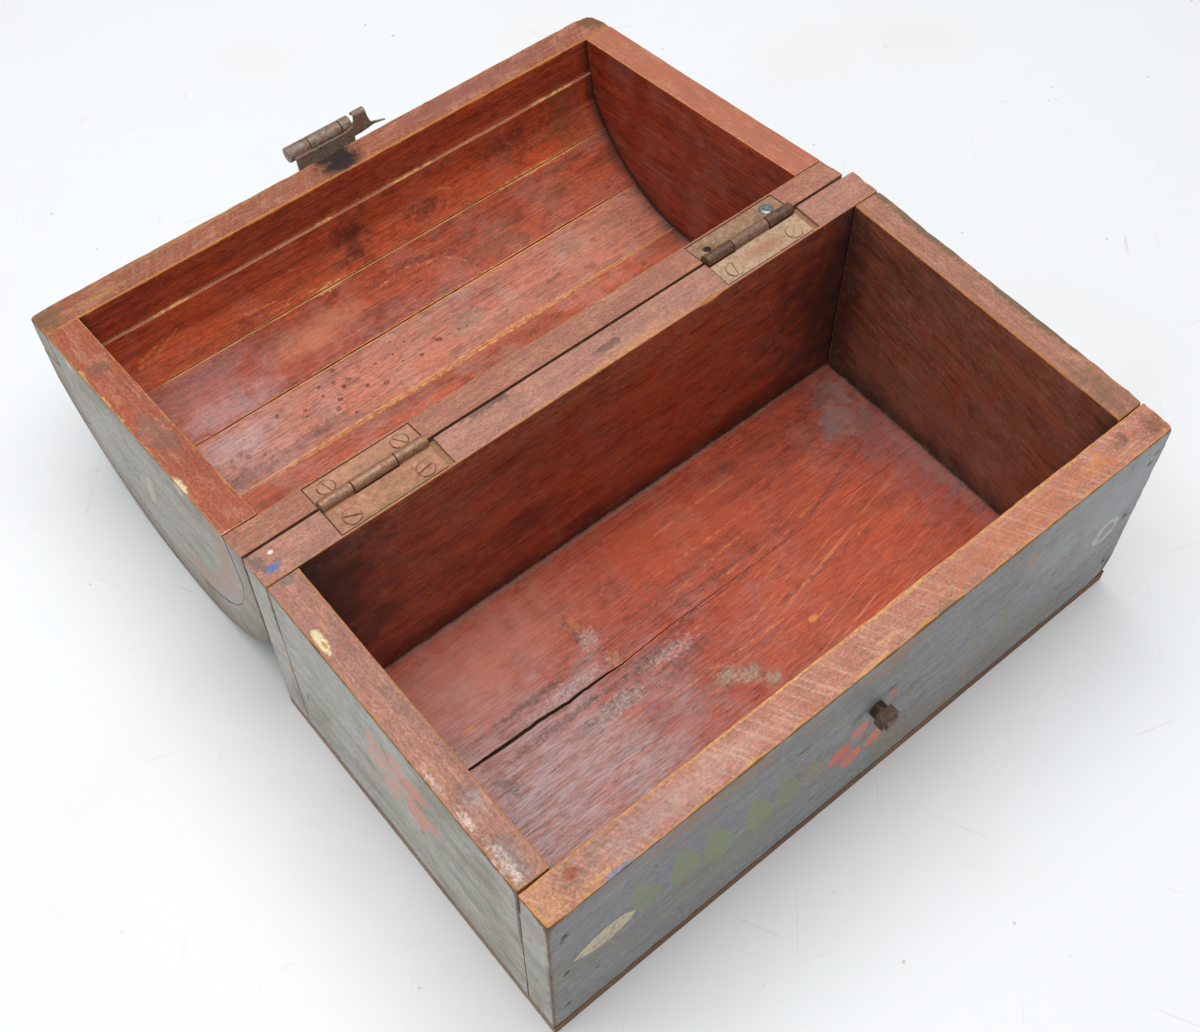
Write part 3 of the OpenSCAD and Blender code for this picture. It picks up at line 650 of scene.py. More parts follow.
def crack_half_width(x):
    """Half the seam's opening: wide at the left, a hairline in the middle and closed at the right."""
    places = [-122, -95, -82, -50, -36, -28, 10, 40, 122]
    return np.interp(x, places, [0.1, 0.25, 0.55, 0.45, 0.25, 0.1, 0.05, 0.0, 0.0])


def seam_shape(side):
    """Moves the seam edge of a floor board (SIDE -1 front, 1 back) to its ragged line."""
    def shape(points):
        x = points[:, 0]
        line = np.stack([x, np.zeros_like(x), np.zeros_like(x)], axis=1)
        middle = np.interp(x, [-122, -90, -35, 0, 122], [1.8, 1.5, -0.4, 0, 0])
        middle = middle + 0.8 * (smooth_noise(line, 6, 41) - 0.5) + 0.6 * (smooth_noise(line, 2, 42) - 0.5)
        goal = middle + side * crack_half_width(x)
        reach = np.clip(1 - np.abs(points[:, 1] - seam_y) / 12, 0, 1)
        moved = points.copy()
        moved[:, 1] += goal * reach
        return moved
    return shape


def seam_ease(points):
    """Almost sharp along the seam where it is shut, and rounder where it has opened."""
    at_seam = np.abs(points[:, 1] - seam_y) < 2
    return np.where(at_seam, 0.08 + 1.2 * crack_half_width(points[:, 0]), 1)


floor_faces = [floor_end_wood] + [bottom_wood] * 4 + [floor_finish]
for node, side in (("front_floor_board", -1), ("back_floor_board", 1)):
    worn_board(node, "base", "floor_wood", *boxes[node], floor_faces, seed=11 + side, radius=0.3,
               ragged=0.4, step=1.6, shape=seam_shape(side), nook=lambda p: wall_distance(p, "under"),
               ease=seam_ease)

# Front board
# A planed board nailed across the ends of the box. Its face is brushed grey-blue with a spray of
# leaves and red petals, worn thin. Its rim was left as sawn and painted red, with the edges rubbed.


def outside_paint(name, base, place=None, turn=(0, 0, 0), cool=0.4):
    """Old grey-blue paint: brushed streaks along the board, olive and brown clouds, violet, olive and
    pale grains, small dark nicks, and rubbed edges where the orange-brown wood shows."""
    paint = Finish(name, base, place)
    along = paint.mapping(paint.place, rotation=turn)
    broad = paint.streak(90.0, 9.0, 2.0, along)
    thin = paint.streak(50.0, 1.3, 6.0, along)
    cloud = paint.noise(paint.place, 26.0, 3.0, 0.6)
    olive = paint.noise(paint.mapping(along, (40, 3, 9), scale=(0.5, 1, 1)), 15.0, 3.0, 0.6)
    hair = paint.streak(34.0, 0.55, 27.0, along)
    dark, pale, warm = paint.grains(3.6, 0.7, 13.0, along)
    coarse_dark, coarse_pale, violet = paint.grains(22.0, 3.0, 29.0, along)
    paint.tint(broad, 0.45, 0.75, tone(118, 114, 104), 0.55)
    paint.tint(thin, 0.5, 0.8, tone(104, 100, 92), 0.45)
    paint.tint(thin, 0.48, 0.25, tone(180, 180, 174), 0.35)
    paint.tint(cloud, 0.48, 0.7, tone(150, 132, 108), 0.5)
    paint.tint(olive, 0.48, 0.7, tone(122, 124, 92), 0.45)
    paint.lay(coarse_dark, tone(112, 104, 92), 0.22)
    paint.lay(coarse_pale, tone(178, 176, 166), 0.22)
    paint.lay(violet, tone(130, 132, 154), 0.7 * cool)
    paint.tint(hair, 0.52, 0.7, tone(96, 92, 86), 0.35)
    paint.tint(hair, 0.46, 0.3, tone(188, 186, 178), 0.25)
    paint.lay(warm, tone(142, 126, 92), 0.22)
    paint.lay(pale, tone(200, 198, 190), 0.2)
    paint.lay(dark, tone(84, 78, 74), 0.22)
    paint.mottle(1.8, 0.6, 0.34, 43.0, along)
    turned = paint.mapping(along, rotation=(0.5, 0.3, 0.5))
    nicks = paint.use(scratches, Vector=turned, Length=12.0, Spacing=5.0, Width=0.12, Keep=0.56)
    paint.lay(nicks, tone(84, 72, 60), 0.6)
    paint.lay(paint.use(specks, Vector=paint.place, Size=3.2, Amount=0.16), tone(82, 66, 48), 0.7)
    paint.lift(thin, 0.10)
    paint.lift(pale, 0.05)
    paint.lift(dark, -0.05)
    paint.roughness = paint.math("MULTIPLY_ADD", cloud, 0.3, 0.35)
    return paint


def outside_edges(paint, soil=tone(128, 86, 52)):
    """Rubbed edges and the soft brown grime beside them."""
    worn = paint.mark("worn")
    paint.rub(worn, 0.12, 1.3, tone(112, 92, 66), 0.55)
    paint.rub(worn, 0.42, 1.0, soil, 0.85)
    paint.rub(worn, 0.8, 1.2, tone(64, 48, 36), 0.7)


def front_paint():
    """The front: leaves in a row at the left, red petals beside the stud, cream marks at both ends."""
    paint = outside_paint("front paint", tone(140, 141, 145))
    face = base_low[1]
    paint.flat = (1, face)
    # Painted sheen: a pale blue-white patch at the right end of the front, where the lamp is reflected.
    paint.marks([(102, 66, 56, 44)], tone(186, 190, 196), 0.55, 1.4, 12.0, 0.95)
    paint.marks([(-70, 60, 50, 16)], tone(122, 122, 142), 0.4, 1.4, 9.0, 0.9)
    paint.marks([(-60, 30, 50, 17)], tone(122, 126, 90), 0.45, 1.8, 7.0, 0.9, 0.3)
    paint.marks([(-66, 84.5, 56, 4.6), (2, 84, 20, 6)], tone(166, 128, 106), 0.85, 1.8, 4.0, 0.8, 0.2)
    paint.marks([(40, 20, 60, 14)], tone(128, 116, 92), 0.35, 1.8, 6.0, 0.9, 0.4)
    leaf_green = tone(138, 152, 88)
    leaves = [((-86, 47.2), (-93, 72.6), 5.4), ((-72.6, 43.5), (-77, 72), 5.8),
              ((-59.4, 37.2), (-66, 69.4), 6.0), ((-42.6, 35.3), (-50, 66.3), 5.4),
              ((-32, 37), (-38, 64), 5.0), ((-20.6, 37), (-26, 57.6), 3.7)]
    for number, (tail, tip, width) in enumerate(leaves):
        colour = leaf_green if number < 5 else tone(162, 146, 92)
        paint.dab(tail, tip, width, colour, 0.72 if number < 4 else 0.55, 0.45, 1.1)
    small = [(-96, 28, 3, 5), (-17, 69, 3, 3), (45, 43, 2.6, 11), (59, 43, 4.5, 15), (92, 36, 4, 5)]
    paint.marks(small, tone(140, 146, 88), 0.5, 2.4, 2.6, 0.7, 0.4)
    paint.marks([(-45, 27, 5, 2.5)], tone(122, 156, 96), 0.6, 2.0, 2.0, 0.6, 0.3)
    paint.marks([(16.5, 48.5, 2, 6)], tone(118, 108, 66), 0.6, 2.0, 2.0, 0.6, 0.3)
    petals = [(-11.8, 40.6, 5.2, 5.7, tone(232, 96, 62)), (-5.8, 30.6, 5, 5, tone(244, 108, 70)),
              (-4.7, 47.9, 4.1, 5, tone(226, 128, 104)), (3.9, 32.2, 4.3, 5.5, tone(234, 122, 92)),
              (-2, 39.9, 1.3, 1.5, tone(196, 80, 56))]
    for x, z, wide, high, colour in petals:
        paint.marks([(x, z, wide, high)], colour, 0.95, 1.0, 2.2, 0.2, 0.22)
    cream = tone(228, 208, 174)
    paint.dab((-114.5, 51), (-92, 51), 6.2, cream, 0.9, 0.9, 0.7, 0.3)
    paint.marks([(-103, 47, 8, 6)], tone(150, 118, 84), 0.35, 1.6, 2.6, 0.7, 0.9)
    ring = paint.math("SUBTRACT", paint.distance((107.3, face, 46.3), (1, 0, 1)), 5.1)
    ring = paint.frayed(paint.math("ABSOLUTE", ring), 4.0, 3.0)
    broken = paint.band(paint.noise(paint.place, 2.6, 4.0, 0.7), 0.4, 0.52)
    paint.lay(paint.band(ring, 3.9, 2.9), tone(212, 206, 188), 0.95, within=broken)
    paint.marks([(64, 74.5, 7, 7)], tone(190, 142, 106), 0.6, 2.0, 3.0, 0.8, 0.3)
    paint.marks([(39, 8, 4.5, 9)], tone(168, 114, 74), 0.65, 2.4, 2.4, 0.8, 0.3)
    paint.marks([(46.5, 23.5, 1.4, 4.5)], tone(170, 144, 110), 0.7, 1.2, 1.6)
    paint.marks([(119.5, 12, 2, 6)], tone(58, 42, 34), 0.75, 1.6, 1.8)
    dots = [(118.2, 80.3, 2, 1), (-117.5, 73, 1.2, 1.2), (-105.6, 30.3, 1.1, 1.1), (-30.6, 69.4, 3, 1),
            (-21, 21.7, 2, 1)]
    paint.marks(dots, tone(60, 48, 40), 0.75, 1.2, 1.4)
    # Painted shadow: a dark patch beside the stud at its upper left.
    paint.marks([(-7.5, stud_z + 2.5, 4.5, 4)], tone(78, 66, 56), 0.6, 1.2, 2.4, 0.8)
    paint.marks([(7, stud_z + 0.5, 2.6, 4)], tone(190, 118, 66), 0.85, 1.8, 1.6)
    paint.marks([(6, stud_z + 4.6, 3.4, 0.8)], tone(46, 34, 28), 0.85, 0.8, 1.6)
    paint.tint(paint.frayed(paint.axis(2), 7.0, 4.0), 12.0, 7.5, tone(112, 80, 58), 0.75)
    outside_edges(paint)
    return paint.finished()


def rim_paint(name, base, place=None, turn=0.0, saw=0.0, gold=tone(214, 150, 78), gold_start=0.34,
              coarse=0.2):
    """Red paint rubbed thin on a sawn edge: saw strokes across it, fine streaks along it, rubbed pale
    places, brown clouds, small grains, and golden bare wood along its ragged borders."""
    paint = Finish(name, base, place)
    along = paint.mapping(paint.place, rotation=(0, 0, turn))
    strokes = paint.streak(20.0, 1.3, 4.0, paint.mapping(along, rotation=(0, 0, math.radians(62))))
    grain = paint.streak(24.0, 0.7, 8.0, along)
    cloud = paint.noise(paint.mapping(along, scale=(0.5, 1, 1)), 9.0, 4.0, 0.65)
    rubbed = paint.noise(paint.mapping(along, (60, 7, 0), scale=(0.4, 1, 1)), 5.0, 4.0, 0.7)
    dark, pale, warm = paint.grains(1.5, 0.6, 15.0, along)
    paint.tint(cloud, 0.45, 0.7, darker(base, 0.6), 0.45)
    paint.tint(rubbed, 0.5, 0.64, tone(214, 154, 124), 0.35)
    paint.tint(grain, 0.5, 0.72, darker(base, 0.55), 0.4)
    paint.tint(grain, 0.46, 0.3, tone(220, 164, 132), 0.3)
    if saw:
        paint.tint(strokes, 0.5, 0.34, tone(226, 184, 156), saw)
        paint.tint(strokes, 0.52, 0.68, darker(base, 0.5), 0.7 * saw)
        paint.lift(strokes, 0.2)
    paint.lay(warm, tone(210, 118, 72), coarse)
    paint.lay(pale, tone(234, 208, 182), coarse)
    paint.lay(dark, tone(104, 76, 52), coarse)
    paint.mottle(1.0, 0.5, 0.36, 43.0, along)
    worn = paint.mark("worn")
    paint.rub(worn, gold_start, 1.8, gold, 0.8)
    paint.rub(worn, 0.95, 0.9, tone(92, 62, 38), 0.6)
    paint.lift(grain, 0.12)
    paint.lift(pale, 0.08)
    paint.roughness = paint.math("MULTIPLY_ADD", cloud, 0.25, 0.42)
    return paint


def front_rim():
    """The front rim: red-brown, paler and greyer at the left, with stains and golden borders."""
    paint = rim_paint("front rim paint", tone(186, 118, 98), saw=0.4, gold_start=0.42, coarse=0.36)
    paint.flat = (2, base_high[2])
    paint.marks([(-62, -64, 34, 6)], tone(222, 186, 176), 0.4, 1.6, 4.0, 0.8, 0.4, deep=6)
    paint.marks([(-88, -64, 26, 8)], tone(158, 138, 136), 0.5, 1.6, 6.0, 0.9, 0.3, deep=6)
    corner = [(-117, -63, 6, 8), (-103, -67.6, 12, 2)]
    paint.marks(corner, tone(216, 172, 112), 0.7, 2.8, 1.8, 0.7, 1.0, deep=6)
    stain = [(-108, -62, 6.5, 5), (-99, -60.5, 5, 2.6)]
    paint.marks(stain, tone(118, 104, 80), 0.6, 2.4, 2.2, 0.7, 0.5, deep=6)
    paint.marks([(-108, -62, 3, 2.2)], tone(160, 74, 50), 0.75, 1.8, 1.6, deep=6)
    paint.marks([(-97.5, -69.3, 7.5, 1.0)], tone(110, 136, 176), 0.85, 1.4, 1.8, 0.6, 0.3, deep=2)
    gold = [(-52, -69.5, 2.4, 1.3), (-6, -69.2, 8, 1.3), (-40, -58.4, 44, 0.5), (14, -58.8, 26, 0.9),
            (70, -58.6, 30, 0.6), (2, -66, 5, 1.6)]
    paint.marks(gold, tone(232, 180, 104), 0.75, 2.6, 1.4, 0.6, 0.8, deep=2)
    paint.marks([(22, -69.2, 5.5, 1.4)], tone(122, 114, 104), 0.7, 1.8, 1.6, 0.5, 0.3, deep=2)
    paint.marks([(60, -64, 54, 6), (95, -65, 5, 4)], tone(204, 116, 66), 0.5, 2.4, 3.0, 0.8, 0.4, deep=6)
    paint.marks([(92, -64, 7, 3), (119, -66, 3, 5)], tone(216, 148, 74), 0.5, 2.4, 2.2, 0.8, 0.5, deep=6)
    paint.marks([(105, -63, 4, 3), (118, -65, 5, 5)], tone(92, 66, 46), 0.6, 2.4, 2.4, 0.6, 0.3, deep=6)
    return paint.finished()


stud_box = [np.array(corner) * 1000 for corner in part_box("hasp_stud")]
stud_z = (stud_box[0][2] + stud_box[1][2]) / 2
front_finish = front_paint()
front_rim_finish = front_rim()


def long_wall_paint():
    """The long walls inside: dark at both ends, pale-brown tufts, and a speckled band under the top."""
    paint = inside_paint("long wall paint", tone(182, 80, 48), vivid=0.5, dust=0.35, painted_sheen=0.08, grime=16.0)
    _, tufts, brown = paint.grains(3.0, 1.2, 71.0)
    clump = paint.band(paint.noise(paint.place, 11.0, 3.0, 0.6), 0.46, 0.6)
    paint.lay(tufts, tone(172, 134, 104), 0.6, within=clump)
    high = paint.band(paint.axis(2), base_high[2] - 16, base_high[2] - 5)
    paint.lay(brown, tone(176, 138, 106), 0.75, within=high)
    wall_y = inside_high[1]
    ends = [((-104, wall_y, 60), (30, 200, 80)), ((104, wall_y, 50), (42, 200, 80))]
    paint.patches(ends, tone(44, 42, 42), 0.74, 1.8, 8.0, 0.95)
    paint.patches([((-30, wall_y, 36), (22, 200, 10))], tone(46, 32, 28), 0.5, 1.8, 6.0, 0.9)
    return paint.finished()


def end_wall_paint():
    """The end walls inside: dark towards the back and the top, with red streaks and a greyer foot."""
    tilt = (math.radians(-14), 0, math.radians(-90))
    paint = inside_paint("end wall paint", tone(136, 82, 58), turn=tilt, vivid=0.35, dust=0.5, painted_sheen=0.15,
                         grime=14.0)
    _, tufts, _ = paint.grains(3.0, 1.2, 71.0)
    clump = paint.band(paint.noise(paint.place, 9.0, 3.0, 0.6), 0.46, 0.6)
    paint.lay(tufts, tone(168, 134, 106), 0.55, within=clump)
    for y, z in ((18, 60), (0.8, 50), (-13.7, 64)):
        paint.patches([((0, y, z), (200, 1.6, 20))], tone(158, 64, 40), 0.6, 1.8, 2.4)
    paint.patches([((0, 52, 50), (200, 11, 60))], tone(42, 28, 25), 0.6, 1.6, 4.0, 0.8)
    paint.patches([((0, -40, 40), (200, 20, 30))], tone(150, 72, 48), 0.4, 1.6, 6.0, 0.8)
    paint.patches([((0, 10, 20), (200, 60, 26))], tone(128, 106, 100), 0.45, 1.6, 6.0, 0.9, 0.3)
    paint.patches([((0, 20, 80), (200, 46, 20))], tone(60, 40, 32), 0.6, 1.6, 6.0, 0.9, 0.2)
    return paint.finished()


long_wall_finish = long_wall_paint()
end_wall_finish = end_wall_paint()
across_the_box = (0, 0, math.radians(-90))


def left_end_paint():
    """The left end: a salmon daisy and faint leaves on brushed grey-blue."""
    paint = outside_paint("left end paint", tone(198, 195, 187), turn=across_the_box, cool=0.15)
    paint.flat = (0, base_low[0])
    leaves = [(15.5, 44.8, 3, 7), (-18, 42.8, 4, 9), (-38, 41, 8, 10), (-40, 57, 6, 4),
              (-14, 23, 4, 5), (19, 72, 3, 3)]
    paint.marks(leaves, tone(134, 146, 96), 0.45, 2.4, 2.6, 0.8, 0.4)
    heart = (-1, 59.8)
    petals = [(-1.5, 71.3, 4.8, 8.5), (-10.5, 69.3, 5, 7), (-15, 56.3, 3.8, 6), (-7, 50.8, 5, 9),
              (4, 47.8, 4.5, 7), (9.5, 56.8, 5, 7), (8, 67.8, 4.5, 7)]
    for y, z, wide, long in petals:
        away = np.array([y - heart[0], z - heart[1]])
        away *= (np.linalg.norm(away) + long * 0.9) / np.linalg.norm(away)
        colour = tone(228, 146, 118) if y < -4 else tone(224, 166, 146)
        paint.dab(heart, (heart[0] + away[0], heart[1] + away[1]), wide, colour, 0.85, 1.3, 0.45, 0.28)
    paint.marks([(60.5, 51, 1.6, 3), (59, 39, 1.4, 3)], tone(206, 140, 74), 0.85, 1.4, 1.6)
    paint.marks([(59, 22, 5, 18), (-62, 15, 5, 9)], tone(130, 104, 80), 0.5, 1.8, 3.0, 0.8)
    cracks = [(58, 74, 1.0, 17), (-57, 68, 0.7, 22), (-55, 50, 1.6, 0.5), (-10, 39.8, 1, 1),
              (52, 31, 0.8, 2.5)]
    paint.marks(cracks, tone(58, 44, 36), 0.8, 1.4, 1.6)
    paint.marks([(-50, 40, 3.5, 20)], tone(190, 160, 146), 0.35, 1.4, 3.0, 0.8)
    paint.tint(paint.frayed(paint.axis(2), 8.0, 4.0), 13.0, 8.0, tone(142, 112, 96), 0.7)
    outside_edges(paint)
    return paint.finished()


left_finish = left_end_paint()


def red_lap(paint, height):
    """Red rim paint run over the edge at HEIGHT onto the face, in a ragged border a few millimetres
    wide."""
    ragged = paint.math("SUBTRACT", paint.noise(paint.place, 5.0, 4.0, 0.7), 0.5)
    away = paint.math("ABSOLUTE", paint.math("SUBTRACT", paint.axis(2), height))
    border = paint.band(paint.math("MULTIPLY_ADD", ragged, 9.0, away), 2.6, 1.6)
    paint.lay(border, tone(134, 76, 58), 0.8)


def plain_outside(name, base, place=None, turn=(0, 0, 0), lap=None):
    """Outside paint without ornament, with a red border at the height LAP if it is given."""
    paint = outside_paint(name, base, place, turn)
    outside_edges(paint)
    if lap:
        red_lap(paint, lap)
    return paint.finished()


back_outside_finish = plain_outside("back outside paint", tone(144, 144, 138), lap=base_high[2])
plain_end_finish = plain_outside("plain end paint", tone(158, 157, 151), turn=across_the_box)

nail_heights = (18, 46, 76)
end_nail_x = inside_high[0] + (base_high[0] - inside_high[0]) / 2


def wall_nails(y):
    """Places of the nails near both ends of the front or back board, on its outer face."""
    return [(side * end_nail_x, y, z) for side in (-1, 1) for z in nail_heights]


def nail_lines(places):
    """Grid lines that give each nail's dent its round border."""
    around = (-1.6, -1.1, -0.7, 0.0, 0.7, 1.1, 1.6)
    return [sorted({round(place[a] + shift, 3) for place in places for shift in around}) for a in range(3)]


def corner_ease(spot):
    """Sharp where the end of a long board lies beside an end board."""
    beside = np.abs(np.abs(spot[:, 1]) - inside_high[1]) < 3
    at_end = np.abs(np.abs(spot[:, 0]) - base_high[0]) < 3
    return np.where(beside & at_end & (spot[:, 2] < base_high[2] - 12), 0.3, 1)


def front_shape(points):
    """The board's left end stands 0.6 mm lower than the end board beside it."""
    moved = points.copy()
    drop = 0.6 * np.clip((-104 - points[:, 0]) / 18, 0, 1)
    moved[:, 2] -= drop * (points[:, 2] - base_low[2]) / (base_high[2] - base_low[2])
    return moved


low, high = boxes["front_board"]
front_nails = wall_nails(low[1])
line_xs, _, line_zs = nail_lines(front_nails)
front_bites = [((0, low[1], high[2]), 3, 0.7), ((22, low[1], high[2]), 7, 0.9),
               ((14, low[1], high[2]), 4, 1.0), ((-51, low[1], high[2]), 4, 0.8),
               ((high[0], low[1], low[2]), 9, 2.0), ((low[0], low[1], high[2]), 6, 1.2),
               ((high[0], low[1], high[2]), 5, 1.0)]
board_ends = [left_finish, plain_end_finish]
front_faces = board_ends + [front_finish, long_wall_finish, bottom_wood, front_rim_finish]
worn_board("front_board", "base", "base_wood", low, high, front_faces, seed=3, ragged=1.1,
           bites=front_bites, pits=front_nails, lines=(line_xs, [], line_zs), shape=front_shape,
           nook=lambda p: wall_distance(p, "front"), ease=corner_ease)

# End boards
# Two shorter boards standing between the front and back boards, with their grain front to back.
# Their rims are red paint on planed wood, chipped to the white ground at the left.


def left_rim():
    """The left rim: a cream chip to the white ground, grey mottles, and pale crust near the front."""
    paint = rim_paint("left rim paint", tone(170, 116, 100), turn=math.radians(90), gold_start=0.5,
                      gold=tone(190, 128, 66))
    paint.flat = (2, base_high[2])
    paint.marks([(-119.5, 33.5, 1.7, 5.6)], tone(230, 214, 170), 0.95, 1.0, 1.8, deep=4)
    paint.marks([(-119.4, 32, 0.7, 2)], tone(206, 146, 72), 0.9, 0.8, deep=2)
    paint.marks([(-116, 56.5, 3.2, 3)], tone(112, 106, 100), 0.7, 1.6, 2.0, deep=4)
    mottles = [(-116, -27.5, 4, 5), (-117, -48, 5, 10), (-114, 5, 3, 10)]
    paint.marks(mottles, tone(112, 92, 84), 0.6, 2.4, 2.0, 0.8, 0.3, deep=4)
    paint.marks([(-115, -32, 4, 6),
                 (-117, -50, 4, 9)], tone(168, 166, 166), 0.6, 3.0, 1.4, 0.7, 0.9, deep=4)
    crust = [(-120.4, -20, 1.2, 6), (-120, -34, 1.6, 6), (-119.4, -50, 2.4, 10)]
    paint.marks(crust, tone(224, 208, 194), 0.85, 3.0, 1.3, 0.7, 0.7, deep=3)
    return paint.finished()


def right_rim():
    """The right rim: greenish grime along its outer edge and a brown stain near the front."""
    paint = rim_paint("right rim paint", tone(168, 112, 90), turn=math.radians(90), gold_start=0.45,
                      gold=tone(176, 116, 62))
    paint.flat = (2, base_high[2])
    paint.marks([(121, 40, 2.6, 30), (121, -10, 2.0, 26)], tone(96, 88, 62), 0.7, 2.4, 2.6, deep=5)
    paint.marks([(115, -46, 7, 18)], tone(112, 82, 62), 0.6, 2.0, 3.0, 0.8, 0.2, deep=5)
    return paint.finished()


left_rim_finish = left_rim()
right_rim_finish = right_rim()
joint_gap = np.array([0, 0.12, 0])
for side, seed, sides, rim in (("left", 21, [left_finish, end_wall_finish], left_rim_finish),
                               ("right", 27, [end_wall_finish, plain_end_finish], right_rim_finish)):
    low, high = boxes[side + "_end_board"]
    outer_x = low[0] if side == "left" else high[0]
    places = ((low[1], 6, 0.8), (33, 4, 0.7), (-46, 5, 0.7))
    bites = [((outer_x, y, high[2]), reach, depth) for y, reach, depth in places]
    worn_board(side + "_end_board", "base", "base_wood", low + joint_gap, high - joint_gap,
               sides + [bottom_wood] * 3 + [rim], seed=seed, ragged=0.9, bites=bites,
               nook=lambda p: wall_distance(p, side), ease=corner_ease)

# Back board
# The board that carries the hinges, let into its rim in shallow pockets cut longer than the leaves.
# A splinter is missing from its inner edge.

hinge_y, hinge_z = (1000 * v for v in frame["joints"][0]["pos_m"][1:])
hinge_pins = ("left_hinge_pin", "right_hinge_pin")
hinge_xs = [np.mean([corner[0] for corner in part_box(node)]) * 1000 for node in hinge_pins]
hinge_half = 19.05
leaf_gap = 0.4
pocket_spare = 2.4
base_pocket_y = 58.5
base_pocket_z = 89.5
barrel_room = 2.5


def pocket_walls(spare):
    """Where each hinge's pocket starts and ends along the rim, SPARE past the leaf at its right."""
    return [(middle - hinge_half - leaf_gap, middle + hinge_half + spare) for middle in hinge_xs]


def step_lines(places):
    """Pairs of grid lines a hair apart, for a step in the surface at each place."""
    return [place + hair for place in places for hair in (-0.01, 0.01)]


def in_pocket(x, spare):
    """Where X lies between the walls of a pocket."""
    return np.any([(x > start) & (x < end) for start, end in pocket_walls(spare)], axis=0)


def back_shape(points):
    """Lowers the rim to the pockets' floors, and to the round channel for each barrel."""
    moved = points.copy()
    x, y = points[:, 0], points[:, 1]
    cut = in_pocket(x, pocket_spare) & (y > base_pocket_y)
    moved[cut, 2] = np.minimum(moved[cut, 2], base_pocket_z)
    short = in_pocket(x, leaf_gap) & (np.abs(y - hinge_y) < barrel_room)
    channel = hinge_z - np.sqrt(np.clip(barrel_room ** 2 - (y - hinge_y) ** 2, 0, None))
    moved[short, 2] = np.minimum(moved[short, 2], channel[short])
    return moved


def back_ease(spot):
    """Sharp at the corner joints, and along the outer edge of the rim, where the lid meets it."""
    outer_edge = (spot[:, 1] > 66) & (spot[:, 2] > base_high[2] - 4)
    return np.minimum(corner_ease(spot), np.where(outer_edge, 0.3, 1))


def back_rim():
    """The back rim: golden at its front border, dark stains, and white and blue drops at the left."""
    paint = rim_paint("back rim paint", tone(172, 118, 102), gold_start=0.6, gold=tone(200, 134, 74))
    paint.flat = (2, base_high[2])
    paint.marks([(0, 58.7, 58, 0.9),
                 (20, 60, 22, 1.4)], tone(216, 152, 92), 0.6, 2.4, 2.0, 0.7, 0.5, deep=3)
    stains = [(-37, 70, 8, 2.6), (-13, 56.4, 8, 2.2), (-30, 70.4, 4, 3), (8, 64, 7, 1.6)]
    paint.marks(stains, tone(84, 66, 62), 0.6, 2.0, 2.2, deep=4)
    paint.marks([(-114.5, 67, 1.1, 0.9)], tone(236, 232, 222), 0.9, 0.5, 1.5, deep=2)
    paint.marks([(-117, 62.3, 3.4, 1.6)], tone(84, 116, 172), 0.9, 1.2, 1.8, deep=3)
    paint.marks([(-119, 66, 2, 4), (-120.6, 67, 1.2, 4)], tone(112, 98, 84), 0.7, 1.8, 1.8, deep=3)
    raw = [((middle + hinge_half + 1.4, 65, base_pocket_z), (1.5, 9, 1.2)) for middle in hinge_xs]
    paint.patches(raw, tone(150, 112, 70), 0.85, 1.2, 1.3)
    return paint.finished()


low, high = boxes["back_board"]
back_nails = wall_nails(high[1])
line_xs, _, line_zs = nail_lines(back_nails)
line_xs += step_lines(itertools.chain(*pocket_walls(pocket_spare)))
channel_ys = [68.0, 68.3, 68.67, 69.0, 69.5]
back_bites = [((46.7, low[1], high[2]), 5.5, 2.2), ((low[0], high[1], high[2]), 4, 0.8),
              ((high[0], high[1], high[2]), 9, 2.2), ((high[0], high[1], 50), 6, 0.8)]
back_rim_finish = back_rim()
back_faces = board_ends + [long_wall_finish, back_outside_finish, bottom_wood, back_rim_finish]
worn_board("back_board", "base", "base_wood", low, high, back_faces, seed=5, bites=back_bites,
           pits=back_nails,
           lines=(line_xs, step_lines([base_pocket_y]) + channel_ys, line_zs + [base_pocket_z]),
           shape=back_shape, nook=lambda p: wall_distance(p, "back"), ease=back_ease)

# Lid rails
# Two straight bars under the dome's edges. The front one carries the hasp. The back one leans
# inwards outside, so that the lid can lie back, and holds the hinges in shallow pockets.

rim_z = base_high[2] + 2 * (hinge_z - base_high[2])
lid_left, lid_right = (1000 * corner[0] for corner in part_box("lid_front_rail"))
lid_front, lid_back = -68.0, base_high[1]
front_rail_t, front_rail_h = 12.4, 15.0
back_rail_t, back_rail_h = 10.7, 34.4
dome_r, stave_t = 73.0, 13.8
inner_r = dome_r - stave_t
ledge = 1.3
stave_edge_y = lid_front + front_rail_t + ledge
dome_y = (lid_front + front_rail_t + lid_back - back_rail_t) / 2
dome_z = rim_z + 7.8
lid_end_t = 12.0
end_inner_left, end_inner_right = lid_left + lid_end_t, lid_right - lid_end_t
over_table = 0.2
arm = np.array([hinge_y - dome_y, dome_z - hinge_z])
open_tilt = math.asin((hinge_z - dome_r - over_table) / np.linalg.norm(arm)) - math.atan2(arm[1], arm[0])
open_turn = -(math.pi + open_tilt)
lean_spare = math.radians(0.5)
back_lean = math.tan(open_tilt - lean_spare)
screw_spread = 13.2
lid_screw_away = 5.6


def turn_open(points):
    """Turns points of the shut lid about the hinge line to where they are in the open lid."""
    y, z = points[:, 1] - hinge_y, points[:, 2] - hinge_z
    turned = points.copy()
    turned[:, 1] = hinge_y + y * math.cos(open_turn) - z * math.sin(open_turn)
    turned[:, 2] = hinge_z + y * math.sin(open_turn) + z * math.cos(open_turn)
    return turned


